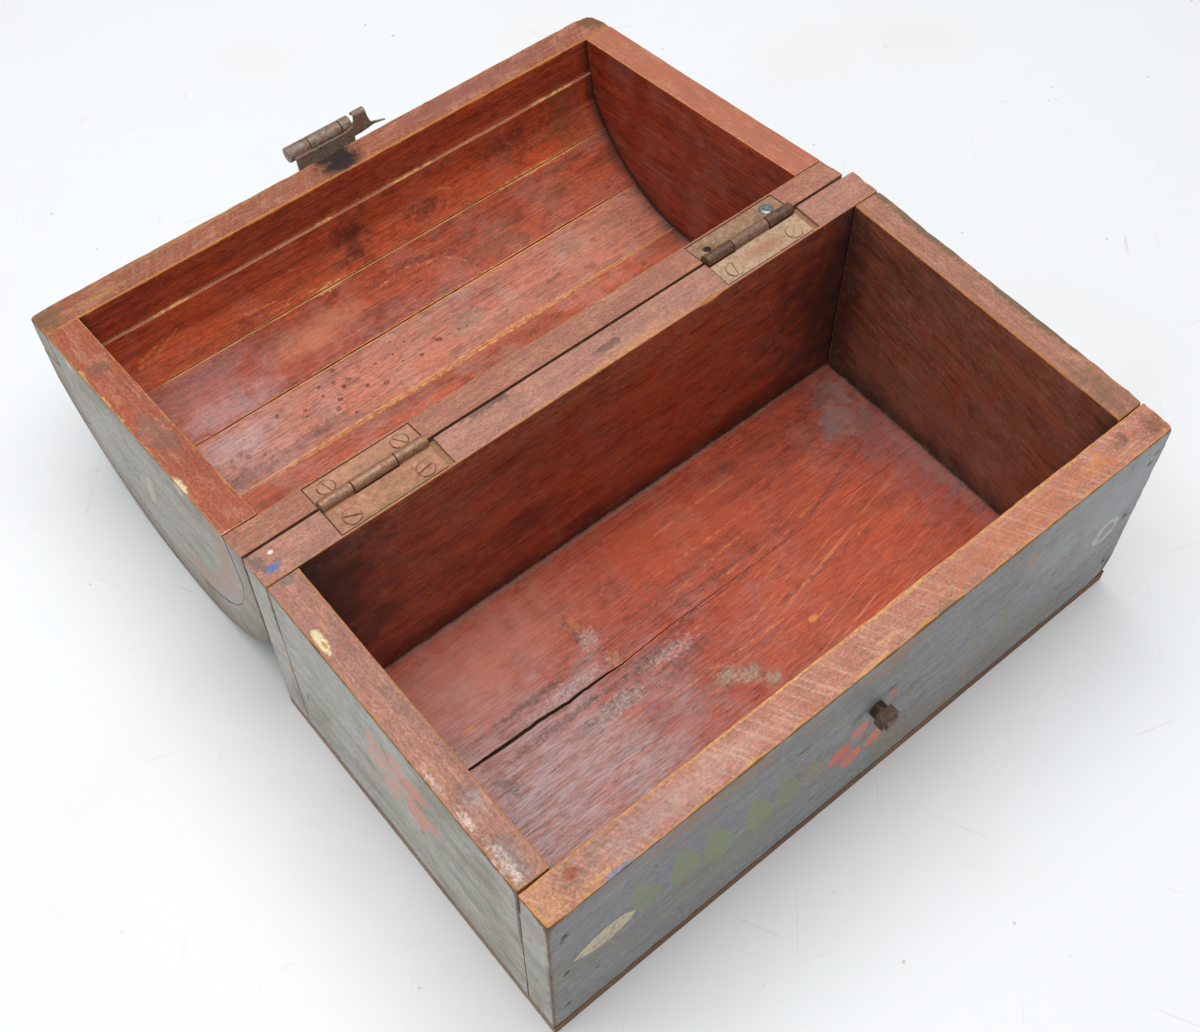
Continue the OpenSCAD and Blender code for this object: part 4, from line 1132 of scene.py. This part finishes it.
def fill_lid_place(net, given):
    """The point in millimetres as it lies in the shut lid."""
    c, s = math.cos(-open_turn), math.sin(-open_turn)
    shift = (0, hinge_y - (hinge_y * c - hinge_z * s), hinge_z - (hinge_y * s + hinge_z * c))
    spot = net.add("TexCoord").outputs["Object"]
    return [net.mapping(spot, location=shift, rotation=(-open_turn, 0, 0), scale=MILLIMETRES)]


lid_place = new_group("lid place", {}, ["Place"], fill_lid_place)


def lid_end_distance(points):
    """Distance to the nearer of the lid's two ends, inside."""
    return np.minimum(points[:, 0] - end_inner_left, end_inner_right - points[:, 0])


def lid_inside(name, base, vivid, dust, painted_sheen):
    """Inside paint on the lid, rubbed bare over more of its edges than in the base."""
    return inside_paint(name, base, lid_place, vivid=vivid, dust=dust, painted_sheen=painted_sheen, grime=6.0,
                        bare=tone(222, 146, 78), bare_start=0.35)


rail_inside_finish = lid_inside("rail inside paint", tone(170, 66, 34), 0.4, 0.2, 0.05).finished()
lid_outside_finish = plain_outside("lid outside paint", tone(148, 148, 142), lid_place)
lid_behind_finish = plain_outside("lid back outside paint", tone(148, 148, 142), lid_place, lap=rim_z)


def ledge_paint():
    """The edge of the first stave, a narrow ledge behind the front rail: pinkish paint, made paler as a
    painted highlight along it, with golden chips.
    """
    paint = rim_paint("ledge paint", tone(168, 98, 78), lid_place, gold_start=0.8)
    middle = (stave_edge_y - 0.6, rim_z + front_rail_h)
    for start, end, wide in joint_chips[0]:
        paint.dab((start, *middle), (end, *middle), 1.5 * wide, tone(232, 176, 112), 0.9, 0.25, 0.25, 0.4)
    return paint.finished()


# Chips along the joints, from the first stave's front edge backwards: start, end and width.
joint_chips = [
    [(-87, -72, 1.2), (-21, -14, 1.3), (12, 32, 0.9), (77, 98, 1.3)],
    [(-31, -19, 1.3), (50, 94, 1.0)],
    [(-62, 96, 0.7)],
    [(-88, 90, 1.2)],
    [(-60, -10, 0.6), (20, 80, 0.7)],
    [(-40, 60, 0.5)],
    [],
]
ledge_finish = ledge_paint()


def lid_left_paint():
    """The lid's left end: grey-blue with two cream dabs, a faded pink band and a browner border."""
    paint = outside_paint("lid left end paint", tone(190, 186, 178), lid_place, across_the_box, 0.15)
    paint.dab((lid_left, -9.5, 137), (lid_left, -0.6, 116), 2.6, tone(206, 198, 172), 0.85, 0.7, 0.7, 0.25)
    paint.dab((lid_left, -15, 134), (lid_left, -8, 120), 1.2, tone(200, 192, 168), 0.5, 0.7, 0.7, 0.3)
    ring = paint.frayed(paint.distance((0, dome_y, dome_z), (0, 1, 1)), 6.0, 5.0)
    pink = paint.math("MULTIPLY", paint.band(ring, 47.0, 52.0), paint.band(ring, 61.0, 56.0))
    pink = paint.math("MULTIPLY", pink, paint.band(paint.axis(1), -8.0, 18.0))
    paint.lay(pink, tone(184, 148, 128), 0.7)
    paint.tint(ring, inner_r - 1, dome_r - 4, tone(140, 124, 104), 0.6)
    paint.tint(ring, dome_r - 4, dome_r + 2, tone(104, 88, 68), 0.6)
    chips = [((lid_left, 32, 95), (9, 3, 3.4)), ((lid_left, -41, 95), (9, 2.6, 3))]
    paint.patches(chips, tone(222, 206, 166), 0.9, 1.4, 1.8)
    outside_edges(paint, tone(120, 84, 50))
    return paint.finished()


def front_lid_rim():
    """The front rail's rim: redder, with a black stain behind the hasp that is partly painted shadow of the
    hasp, and golden borders.
    """
    paint = rim_paint("lid front rim paint", tone(156, 84, 58), lid_place, saw=0.1, gold_start=0.4,
                      gold=tone(198, 128, 56))
    paint.flat = (2, rim_z)
    paint.marks([(-64, -66.6, 50, 1.6),
                 (-100, -60, 16, 3)], tone(190, 146, 84), 0.6, 2.8, 2.0, 0.7, 0.6, deep=3)
    # Stain and painted shadow: near-black behind the hasp.
    paint.marks([(-2, -65, 12, 6.5), (-2, -60, 10, 6)], tone(26, 17, 15), 0.95, 1.2, 3.0, 0.7, deep=5)
    paint.marks([(-119, -64, 8, 9)], tone(116, 92, 56), 0.65, 1.8, 2.4, deep=5)
    paint.marks([(60, -62, 44, 4)], tone(150, 92, 88), 0.4, 2.0, 3.0, deep=5)
    paint.marks([(116, -64, 7, 7)], tone(104, 82, 52), 0.6, 1.8, 2.4, deep=5)
    return paint.finished()


def lid_ends_rim():
    """The arched ends' rims: orange-red, grey stains, and at the left golden and cream chips."""
    paint = rim_paint("lid end rim paint", tone(168, 82, 54), lid_place, math.radians(90), gold_start=0.55)
    paint.flat = (2, rim_z)
    paint.tint(paint.axis(0), -1.0, 1.0, tone(204, 132, 104), 0.4)
    paint.marks([(lid_left, 33.5, 2.2, 5.5)], tone(230, 212, 166), 0.95, 1.0, 1.8, deep=4)
    paint.marks([(lid_left, 60, 5, 2)], tone(220, 176, 140), 0.8, 1.6, 1.6, deep=4)
    stains = [(-116, -29, 5, 4.5), (-116, 10, 5, 14), (-117, 67, 6, 3)]
    paint.marks(stains, tone(118, 92, 80), 0.55, 2.4, 2.4, deep=5)
    golden = [(lid_left, -30, 1.6, 4), (lid_left, -14, 1.4, 5), (lid_left, -4, 1.2, 3)]
    paint.marks(golden, tone(220, 158, 78), 0.85, 2.0, 1.6, deep=3)
    return paint.finished()


lid_left_finish = lid_left_paint()
lid_front_rim_finish = front_lid_rim()
lid_end_rim_finish = lid_ends_rim()
lid_back_rim = rim_paint("lid back rim paint", tone(166, 106, 86), lid_place, gold_start=0.6)
empty_hole = (hinge_xs[1] - screw_spread, hinge_y - lid_screw_away, rim_z)
# Painted shade: a near-black disc where a screw hole is empty; the hole itself is not cut.
lid_back_rim.patches([(empty_hole, (2.0, 2.0, 9))], tone(8, 6, 5), 1.0, 0.2)
lid_back_rim_finish = lid_back_rim.finished()

low = np.array([lid_left, lid_front, rim_z])
high = np.array([lid_right, lid_front + front_rail_t, rim_z + front_rail_h])
rail_bites = [((high[0], low[1], low[2]), 8, 2.2), ((low[0], low[1], low[2]), 5, 1.0)]
lid_board_ends = [lid_left_finish, lid_outside_finish]
rail_faces = lid_board_ends + [lid_outside_finish, rail_inside_finish, lid_front_rim_finish, bottom_wood]
worn_board("lid_front_rail", "lid", "lid_wood", low, high, rail_faces, seed=31, ragged=0.7,
           bites=rail_bites, shape=turn_open, nook=lid_end_distance)

lid_pocket_y = 60.3
lid_pocket_z = 92.9


def back_rail_shape(points):
    """Leans the outer face, follows the dome inside, cuts the pockets up into the rim, and turns the
    rail open."""
    moved = points.copy()
    x, y = points[:, 0], points[:, 1]
    cut = in_pocket(x, leaf_gap) & (y > lid_pocket_y)
    moved[cut, 2] = np.maximum(moved[cut, 2], lid_pocket_z)
    near = cut & (np.abs(y - hinge_y) < barrel_room)
    channel = hinge_z + np.sqrt(np.clip(barrel_room ** 2 - (y - hinge_y) ** 2, 0, None))
    moved[near, 2] = np.maximum(moved[near, 2], channel[near])
    share = (y - (lid_back - back_rail_t)) / back_rail_t
    rise = moved[:, 2] - rim_z
    arch_y = dome_y + np.sqrt(inner_r ** 2 - np.clip(moved[:, 2] - dome_z, 0, None) ** 2)
    inner_y = np.minimum(lid_back - back_rail_t, arch_y)
    moved[:, 1] = inner_y + share * (lid_back - back_lean * rise - inner_y)
    return turn_open(moved)


low = np.array([lid_left, lid_back - back_rail_t, rim_z])
high = np.array([lid_right, lid_back, rim_z + back_rail_h])
rail_lines = (step_lines(itertools.chain(*pocket_walls(leaf_gap))), step_lines([lid_pocket_y]) + channel_ys,
              [lid_pocket_z])


def back_rail_ease(spot):
    """Sharp where the rail's rim meets the base, and where the rail meets the last stave."""
    hinge_edge = (spot[:, 1] > lid_back - 4) & (spot[:, 2] < rim_z + 4)
    return np.where(hinge_edge | (spot[:, 2] > rim_z + back_rail_h - 4), 0.25, 1)


rail_faces = lid_board_ends + [rail_inside_finish, lid_behind_finish, lid_back_rim_finish, bottom_wood]
worn_board("lid_back_rail", "lid", "lid_wood", low, high, rail_faces, seed=33, lines=rail_lines,
           shape=back_rail_shape, nook=lid_end_distance, ease=back_rail_ease)

# Arched lid ends
# Two boards cut to an arch, which stand between the rails under the staves.


def arch_height(y):
    """The height of the arch's border above the rim: the round, or the rail's top under the first stave."""
    round_top = dome_z + np.sqrt(inner_r ** 2 - (y - dome_y) ** 2) - rim_z
    return np.where(y < stave_edge_y, front_rail_h, round_top)


def arch_shape(points):
    """Stretches each upright line of the board so that its top lies on the arch."""
    moved = points.copy()
    moved[:, 2] = rim_z + (points[:, 2] - rim_z) / arch_h * arch_height(points[:, 1])
    return turn_open(moved)


def arch_nook(points):
    """Distance to the staves and rails, which the arch's border lies against."""
    return arch_height(points[:, 1]) * (1 - (points[:, 2] - rim_z) / arch_h)


arch_h = dome_z + inner_r - rim_z
arch_inside = inside_paint("lid end inside paint", tone(146, 54, 28), lid_place, across_the_box, 0.4, 0.2)
arch_inside_finish = arch_inside.finished()
arch_lines = ([], step_lines([stave_edge_y]), [])
for side, start, seed, sides in (("left", lid_left, 35, [lid_left_finish, arch_inside_finish]),
                                 ("right", end_inner_right, 39, [arch_inside_finish, lid_outside_finish])):
    low = np.array([start, lid_front + front_rail_t + 0.1, rim_z])
    high = np.array([start + lid_end_t, lid_back - back_rail_t - 0.1, rim_z + arch_h])
    worn_board("lid_" + side + "_end", "lid", "lid_end_wood", low, high,
               sides + [bottom_wood, bottom_wood, lid_end_rim_finish, bottom_wood], seed=seed, radius=0.35,
               ragged=0.6, lines=arch_lines, shape=arch_shape, nook=arch_nook,
               ease=lambda p: np.where(p[:, 2] > rim_z + 6, 0.4, 1))

# Staves
# Narrow boards nailed over the arches and planed to a half-round outside. Their joints show inside
# as ridges rubbed to bare wood, and at the ends as seams. The last one is cut back flat behind.

stave_count = 6
first_joint = math.radians(7)
last_joint = math.radians(150)
stave_step = (last_joint - first_joint) / stave_count
inside_steps = [0.0, -0.25, 0.2, -0.15, 0.25, 0.0]  # how far each stave's inside stands out or in
joint_wear = [0.6, 0.9, 0.9, 1.6, 0.9, 0.7, 0.3]  # from the front rail's joint to the back rail's


def dome_reach(angle):
    """How far the dome's outside is from its centre: the round, or the flat faces in front and behind."""
    front = (dome_y - lid_front) / np.maximum(np.cos(angle), 1e-3)
    away = np.maximum(back_lean * np.sin(angle) - np.cos(angle), 1e-3)
    back = (lid_back - dome_y - back_lean * (dome_z - rim_z)) / away
    return np.minimum(dome_r, np.minimum(front, back))


def stave_angles(number):
    """The angles at which a stave starts and ends, inside and outside the dome."""
    inner = [first_joint + (number - 1) * stave_step, first_joint + number * stave_step]
    outer = list(inner)
    if number == 1:
        rise = rim_z + front_rail_h - dome_z
        inner[0], outer[0] = math.asin(rise / inner_r), math.atan2(rise, dome_y - lid_front)
    if number == stave_count:
        rise = rim_z + back_rail_h - dome_z
        inner[1] = math.pi - math.asin(rise / inner_r)
        outer[1] = math.pi - math.atan2(rise, lid_back - back_lean * back_rail_h - dome_y)
    return inner, outer


def stave_shape(number, width):
    """Bends the flat board: across its width it goes from its first angle to its last, and through
    its thickness on a straight line from the dome's inside to its outside."""
    inner, outer = stave_angles(number)

    def shape(points):
        across = points[:, 1] / width
        through = points[:, 2] / stave_t
        inner_angle = inner[0] + (inner[1] - inner[0]) * across
        outer_angle = outer[0] + (outer[1] - outer[0]) * across
        inside_r = inner_r + inside_steps[number - 1]
        outer_r = dome_reach(outer_angle)
        inner_y = np.maximum(dome_y - inside_r * np.cos(inner_angle), stave_edge_y)
        bent = points.copy()
        bent[:, 1] = (1 - through) * inner_y + through * (dome_y - outer_r * np.cos(outer_angle))
        inner_part = dome_z + (1 - through) * inside_r * np.sin(inner_angle)
        bent[:, 2] = inner_part + through * outer_r * np.sin(outer_angle)
        return turn_open(bent)
    return shape


def stave_ease(number, width):
    """The wear of a stave's long joints: more in the middle, almost none at the ends."""
    def ease(spot):
        near_first = spot[:, 1] < width / 2
        wear_here = np.where(near_first, joint_wear[number - 1], joint_wear[number])
        return wear_here * np.clip(1.1 - (np.abs(spot[:, 0]) - 86) / 22, 0.15, 1)
    return ease


# Each stave's colour inside, how strong its orange streaks are and how strong its painted grey sheen.
stave_looks = [
    (tone(200, 88, 48), 0.5, 0.1),
    (tone(186, 82, 48), 0.45, 0.2),
    (tone(206, 126, 98), 0.3, 0.4),
    (tone(194, 100, 68), 0.4, 0.3),
    (tone(180, 82, 50), 0.45, 0.25),
    (tone(160, 68, 42), 0.5, 0.15),
]


def stave_paint(number):
    """The inside of each stave: the colour, the painted sheen and the stains differ from one to the next.
    """
    base, vivid, painted_sheen = stave_looks[number - 1]
    paint = lid_inside("stave paint " + str(number), base, vivid, dust=0.25, painted_sheen=painted_sheen)

    def at(x, share):
        """The point of the stave's inside at X, and at SHARE of the way across it."""
        angle = first_joint + (number - 1 + share) * stave_step
        return (x, dome_y - inner_r * math.cos(angle), dome_z + inner_r * math.sin(angle))

    for joint, share in ((number - 1, 0.0), (number, 1.0)):
        for start, end, wide in joint_chips[joint]:
            ends = at(start, share), at(end, share)
            paint.dab(*ends, 1.3 * wide, tone(230, 164, 100), 0.9, 0.25, 0.25, 0.4)
    middle = at(0, 0.5)[1:]
    if number == 1:
        # Stain and painted shadow of the hasp: a dark patch in the middle of the first stave.
        paint.patches([((-9, *middle), (11, 20, 20))], tone(52, 26, 20), 0.6, 2.2, 5.0, 0.9)
        dark = [(at(62, 0.4), (22, 7, 7)), (at(20, 0.7), (16, 5, 5))]
        paint.patches(dark, tone(66, 40, 30), 0.6, 2.8, 3.4, 0.9, 0.3)
        paint.patches([((90, *middle), (14, 20, 20))], tone(92, 74, 50), 0.55, 2.6, 3.4, 0.9, 0.4)
        scratches_at = [((-99, 0.6), (-80, 0.34)), ((-92, 0.62), (-76, 0.3)), ((-104, 0.66), (-86, 0.62)),
                        ((-60, 0.72), (-44, 0.78)), ((24, 0.4), (36, 0.62)), ((-38, 0.4), (-34, 0.5)),
                        ((58, 0.2), (66, 0.5)), ((-52, 0.9), (-20, 0.92))]
        for tail, tip in scratches_at:
            paint.dab(at(*tail), at(*tip), 0.9, tone(222, 148, 84), 0.7, 0.5, 0.5, 0.42)
    # Painted sheen: pale grey-pink at the left of staves 2 and 3, where the lamp is reflected.
    if number in (2, 3):
        paint.patches([((-82, *middle), (34, 30, 30))], tone(200, 172, 172), 0.3, 1.8, 7.0, 0.95, 0.3)
    if number == 2:
        # Painted sheen on stave 2, low at the left.
        paint.patches([(at(-80, 0.8), (28, 7, 7))], tone(212, 188, 186), 0.35, 1.8, 5.0, 0.9, 0.3)
        paint.patches([(at(-36, 0.5), (28, 9, 9))], tone(224, 152, 116), 0.5, 1.4, 8.0, 0.95)
        clouds = [(at(40, 0.72), (22, 6, 6)), (at(74, 0.5), (16, 6, 6)), (at(14, 0.9), (12, 3, 3))]
        paint.patches(clouds, tone(112, 78, 48), 0.55, 2.6, 3.6, 0.9, 0.4)
        gouges = [((2, 0.2), (22, 0.42)), ((20, 0.4), (27, 0.52)), ((26, 0.5), (30, 0.9)),
                  ((-12, 0.3), (4, 0.22))]
        for tail, tip in gouges:
            paint.dab(at(*tail), at(*tip), 1.6, tone(104, 56, 44), 0.65, 0.5, 0.5, 0.42)
            pale_side = [at(x, share + 0.09) for x, share in (tail, tip)]
            paint.dab(*pale_side, 0.8, tone(234, 160, 114), 0.7, 0.5, 0.5, 0.44)
    if number == 3:
        # Painted sheen on stave 3, at the left.
        paint.patches([(at(-86, 0.3), (24, 7, 7))], tone(216, 194, 196), 0.4, 1.8, 5.0, 0.9, 0.3)
        stains = [((84, *middle), (11, 8, 8)), ((12, *middle), (13, 6, 6)), (at(66, 0.3), (9, 5, 5))]
        paint.patches(stains, tone(140, 112, 84), 0.6, 3.0, 3.0, 0.8, 0.6)
        pitted = paint.oval((-34, *middle), (84, 14, 14), 1.6, 6.0, 0.8)
        pits = paint.use(specks, Vector=paint.mapping(paint.place, scale=(0.8, 1, 1)), Size=3.2, Amount=0.3)
        paint.lay(pits, tone(76, 44, 36), 0.8, within=pitted)
        paint.lift(paint.math("MULTIPLY", pits, pitted), -0.3)
        low_dirt = [(at(-90, 0.8), (18, 4, 4)), (at(-58, 0.75), (20, 3, 3))]
        paint.patches(low_dirt, tone(96, 66, 50), 0.6, 2.8, 2.6, 0.8, 0.4)
    return paint.finished()


for number in range(1, stave_count + 1):
    inner, outer = stave_angles(number)
    width = (dome_r - stave_t / 2) * (np.mean([inner[1], outer[1]]) - np.mean([inner[0], outer[0]]))
    nails = [(x, width / 2, stave_t) for x in (lid_left + lid_end_t / 2, lid_right - lid_end_t / 2)]
    line_xs, line_ys, _ = nail_lines(nails)
    first_edge = ledge_finish if number == 1 else bottom_wood
    faces = lid_board_ends + [first_edge, bottom_wood, stave_paint(number), lid_outside_finish]
    worn_board("stave_" + str(number), "lid", "lid_wood", (lid_left, 0, 0), (lid_right, width, stave_t),
               faces, seed=50 + number, radius=0.3, ragged=0.8, pits=nails, lines=(line_xs, line_ys, []),
               shape=stave_shape(number, width), nook=lid_end_distance, ease=stave_ease(number, width))

# Nails
# Cut iron nails in the corners, the floor, the lid and the hasp's plate, rusted dark.

rust = Finish("nail iron", tone(84, 62, 48))
rust.tint(rust.noise(rust.place, 1.2, 4.0, 0.7), 0.45, 0.65, tone(122, 74, 42), 0.8)
rust.lift(rust.noise(rust.place, 0.5, 3.0), 0.1)
rust.roughness = 0.8
nail_iron = rust.finished(metallic=0.3)
for node in ("base_nails", "floor_nails", "lid_nails", "hasp_nails"):
    frame["nodes"][node].data.materials.clear()
    frame["nodes"][node].data.materials.append(nail_iron)

# Hinges
# Two iron butt hinges, each of two stamped leaves curled round a pin. Someone painted over the
# leaves in the box's brown-red; the barrels are rubbed to bare iron.


def hinge_finish(name, overpaint, bare, rust_share=0.6):
    """Thin red-brown overpaint on rusty iron, rubbed off at the edges and over the whole barrel."""
    iron = Finish(name, overpaint)
    mottle = iron.noise(iron.place, 2.4, 4.0, 0.65)
    dark, pale, warm = iron.grains(1.6, 1.0, 17.0)
    iron.tint(mottle, 0.45, 0.7, darker(overpaint, 0.5), 0.7)
    iron.tint(mottle, 0.44, 0.3, tone(226, 190, 160), 0.4)
    iron.lay(warm, tone(190, 104, 66), 0.4)
    iron.lay(pale, tone(222, 200, 174), 0.4)
    iron.lay(dark, tone(96, 74, 52), 0.5)
    from_pin = iron.distance((0, hinge_y, hinge_z), (0, 1, 1))
    barrel = iron.band(iron.math("MULTIPLY_ADD", mottle, 0.9, from_pin), 3.1, 2.4)
    iron.lay(barrel, bare, 0.9)
    iron.lay(barrel, tone(172, 96, 52), rust_share, within=iron.band(mottle, 0.5, 0.66))
    iron.lay(barrel, tone(46, 36, 32), 0.7, within=dark)
    iron.lift(mottle, 0.12)
    iron.lift(pale, 0.06)
    iron.roughness = 0.5
    iron.dull(barrel, 0.34)
    return iron


base_screw_y = hinge_y - 8.2
lid_screw_y = hinge_y + lid_screw_away


def screw_shadow_rings(iron, hinge_x, screw_y):
    """Broken rings of painted shadow around the heads of a leaf's two screws, and a lighter tint inside
    them.
    """
    kept = iron.band(iron.noise(iron.place, 2.2, 3.0), 0.36, 0.54)
    for side in (-1, 1):
        around = iron.distance((hinge_x + side * screw_spread, screw_y, 0), (1, 1, 0))
        ring = iron.math("ABSOLUTE", iron.math("SUBTRACT", around, 2.85))
        iron.lay(iron.band(ring, 0.4, 0.1), tone(58, 42, 32), 0.7, within=kept)
        iron.tint(around, 2.8, 1.6, tone(206, 172, 136), 0.3)


def iron_copy(node, body, material, bevel):
    """The CAD piece with its corners rubbed round by BEVEL."""
    mesh = frame["nodes"][node].data.copy()
    work = bmesh.new()
    work.from_mesh(mesh)
    bmesh.ops.remove_doubles(work, verts=work.verts, dist=1e-6)
    bmesh.ops.dissolve_limit(work, angle_limit=math.radians(0.5), verts=work.verts, edges=work.edges)
    work.to_mesh(mesh)
    work.free()
    mesh.materials.clear()
    mesh.materials.append(material)
    shade(mesh, 40)
    piece = new_object("rubbed_" + node, mesh)
    rounding = piece.modifiers.new("rounding", "BEVEL")
    rounding.width = bevel / 1000
    rounding.segments = 2
    rounding.limit_method = "ANGLE"
    rounding.angle_limit = math.radians(40)
    give_to_body(piece, body, [node])


leaf_z = hinge_z - 1.0
left_iron = hinge_finish("left hinge iron", tone(176, 122, 90), tone(156, 122, 96))
border = [((hinge_xs[0], 59.4, leaf_z), (20, 0.8, 2)), ((hinge_xs[0] - 19, 64, leaf_z), (0.8, 6, 2))]
left_iron.patches(border, tone(140, 118, 72), 0.6, 1.6, 1.6)
left_iron.tint(left_iron.axis(1), hinge_y + 1, hinge_y + 2, tone(232, 176, 142), 0.18)
# Painted shadow around the screw heads of the left hinge's leaves.
screw_shadow_rings(left_iron, hinge_xs[0], base_screw_y)
screw_shadow_rings(left_iron, hinge_xs[0], lid_screw_y)
left_iron = left_iron.finished(metallic=0.3)
right_lid = hinge_finish("right hinge lid iron", tone(164, 128, 98), tone(84, 62, 50), 0.3)
right_lid_iron = right_lid.finished(metallic=0.3)
right_base = hinge_finish("right hinge base iron", tone(192, 160, 130), tone(120, 88, 70), 0.4)
redder = [((hinge_xs[1] + 0.5, 63.5, leaf_z), (12, 3.4, 2))]
right_base.patches(redder, tone(164, 100, 76), 0.7, 1.8, 2.4, 0.8, 0.2)
# Painted shadow around the screw heads of the right base leaf.
screw_shadow_rings(right_base, hinge_xs[1], base_screw_y)
right_base_iron = right_base.finished(metallic=0.2)
screw_iron = hinge_finish("base screw iron", tone(176, 118, 92), tone(164, 136, 108))
screw_iron.tint(screw_iron.axis(0), -1.0, 1.0, tone(192, 162, 130), 0.8)
screw_iron = screw_iron.finished(metallic=0.2)
leaf_bevel, thin_bevel = 0.16, 0.1
hinge_pieces = [
    ("left_hinge_base_leaf", "base", left_iron, leaf_bevel),
    ("left_hinge_lid_leaf", "lid", left_iron, leaf_bevel),
    ("left_hinge_pin", "base", left_iron, thin_bevel),
    ("right_hinge_base_leaf", "base", right_base_iron, leaf_bevel),
    ("right_hinge_lid_leaf", "lid", right_lid_iron, leaf_bevel),
    ("right_hinge_pin", "lid", right_lid_iron, thin_bevel),
    ("base_hinge_screws", "base", screw_iron, thin_bevel),
    ("lid_hinge_screws", "lid", left_iron, thin_bevel),
]
for node, body, material, bevel in hinge_pieces:
    iron_copy(node, body, material, bevel)

steel = Finish("screw steel", tone(150, 152, 150))
steel.tint(steel.noise(steel.place, 1.0, 3.0), 0.5, 0.7, tone(96, 92, 84), 0.7)
steel.lift(steel.noise(steel.place, 0.4, 2.0), 0.05)
steel.roughness = 0.4
iron_copy("round_head_screw", "lid", steel.finished(metallic=0.8), 0.12)

# Hasp and stud
# Sheet iron folded round a pin: a plate nailed to the lid's front, a strap that drops over the
# stud on the base, all gone dark brown with rust.


def hasp_finish(name, base, rough_share=0.5):
    """Rusty sheet iron: brown and dark lumps, and red, pale and dark grains."""
    iron = Finish(name, base)
    mottle = iron.noise(iron.place, 3.0, 4.0, 0.65)
    dark, pale, warm = iron.grains(1.8, 1.1, 19.0)
    iron.tint(mottle, 0.45, 0.62, tone(132, 80, 52), 0.5)
    iron.tint(mottle, 0.42, 0.3, tone(66, 54, 46), 0.7)
    iron.lay(warm, tone(166, 92, 52), 0.5)
    iron.lay(pale, tone(166, 168, 172), rough_share)
    iron.lay(dark, tone(48, 38, 33), 0.5)
    iron.lift(mottle, 0.15)
    iron.lift(pale, 0.08)
    iron.roughness = 0.45
    return iron


hasp_iron = hasp_finish("hasp iron", tone(146, 130, 114)).finished(metallic=0.4)
stud_paint = hasp_finish("stud iron", tone(86, 76, 62), 0.3)
stud_paint.patches([((0, base_low[1], stud_z), (9, 3.2, 9))], tone(54, 34, 24), 0.8, 1.4, 2.0)
stud_iron = stud_paint.finished(metallic=0.3)
for node, body in (("hasp_plate", "lid"), ("hasp_pin", "lid"), ("hasp_strap", "hasp")):
    iron_copy(node, body, hasp_iron, 0.15)
iron_copy("hasp_stud", "base", stud_iron, 0.3)

# Table, light and camera
# A large near-white table with fine scratches, a wide soft lamp overhead and a softer one behind
# at the left, and the camera where the photographer stood.


def table_finish():
    """White paint with three sets of fine scratches, a few specks and faint clouds."""
    table = Finish("table paint", tone(243, 246, 248))
    for turn in (0.3, 1.1, 2.3):
        turned = table.mapping(table.place, (turn * 90, 0, 0), (0, 0, turn))
        lines = table.use(scratches, Vector=turned, Length=60.0, Spacing=14.0, Width=0.08, Keep=0.62)
        table.lay(lines, tone(206, 202, 194), 0.45)
    table.lay(table.use(specks, Vector=table.place, Size=14.0, Amount=0.05), tone(168, 156, 140), 0.6)
    table.mottle(3.0, 3.0, 0.05)
    table.tint(table.noise(table.place, 120.0), 0.5, 0.75, tone(234, 235, 234), 0.5)
    table.roughness = 0.55
    return table.finished(specular=0.3)


table_half = 3.0  # metres
corners = [(x * table_half, y * table_half, 0) for x, y in ((-1, -1), (1, -1), (1, 1), (-1, 1))]
table_mesh = bpy.data.meshes.new("table")
table_mesh.from_pydata(corners, [], [(0, 1, 2, 3)])
table_mesh.materials.append(table_finish())
table = new_object("table", table_mesh)


def soft_lamp(name, place, aim, size, power):
    """A lamp with an even face of SIZE at PLACE, turned towards AIM, all in metres."""
    light = bpy.data.lights.new(name, "AREA")
    light.shape = "RECTANGLE"
    light.size, light.size_y = size
    light.energy = power
    lamp = new_object(name, light)
    lamp.location = place
    lamp.rotation_euler = (Vector(aim) - Vector(place)).to_track_quat("-Z", "Y").to_euler()


soft_lamp("overhead lamp", place=(-0.02, 0.1, 1.15), aim=(0.0, 0.05, 0.05), size=(1.1, 1.1), power=12.8)
soft_lamp("left lamp", place=(-1.2, 0.35, 0.8), aim=(0.0, 0.0, 0.05), size=(0.7, 0.7), power=1.4)

world = bpy.data.worlds.new("studio")
world.use_nodes = True
sky = world.node_tree.nodes["Background"]
sky.inputs["Color"].default_value = (1.0, 1.0, 1.0, 1.0)
sky.inputs["Strength"].default_value = 0.317
bpy.context.scene.world = world

eye = bpy.data.cameras.new("camera")
eye.sensor_fit = "HORIZONTAL"
eye.sensor_width = 36.0
eye.lens = 49.374
eye.shift_x = -0.025
eye.shift_y = -0.0508
eye.clip_start = 0.01
eye.clip_end = 20.0
camera = new_object("camera", eye)
# The camera's place and directions are from a least-squares fit to corners of the box in the photo.
camera_right = Vector((0.76586676, -0.6428367, 0.01445977))
camera_up = Vector((0.52100952, 0.63358857, 0.57193934))
camera_back = camera_right.cross(camera_up)
turn = Matrix((camera_right, camera_up, camera_back)).transposed()
camera.matrix_world = Matrix.Translation((-0.198787, -0.184675, 0.494994)) @ turn.to_4x4()
bpy.context.scene.camera = camera
bpy.context.scene.view_settings.view_transform = "Standard"
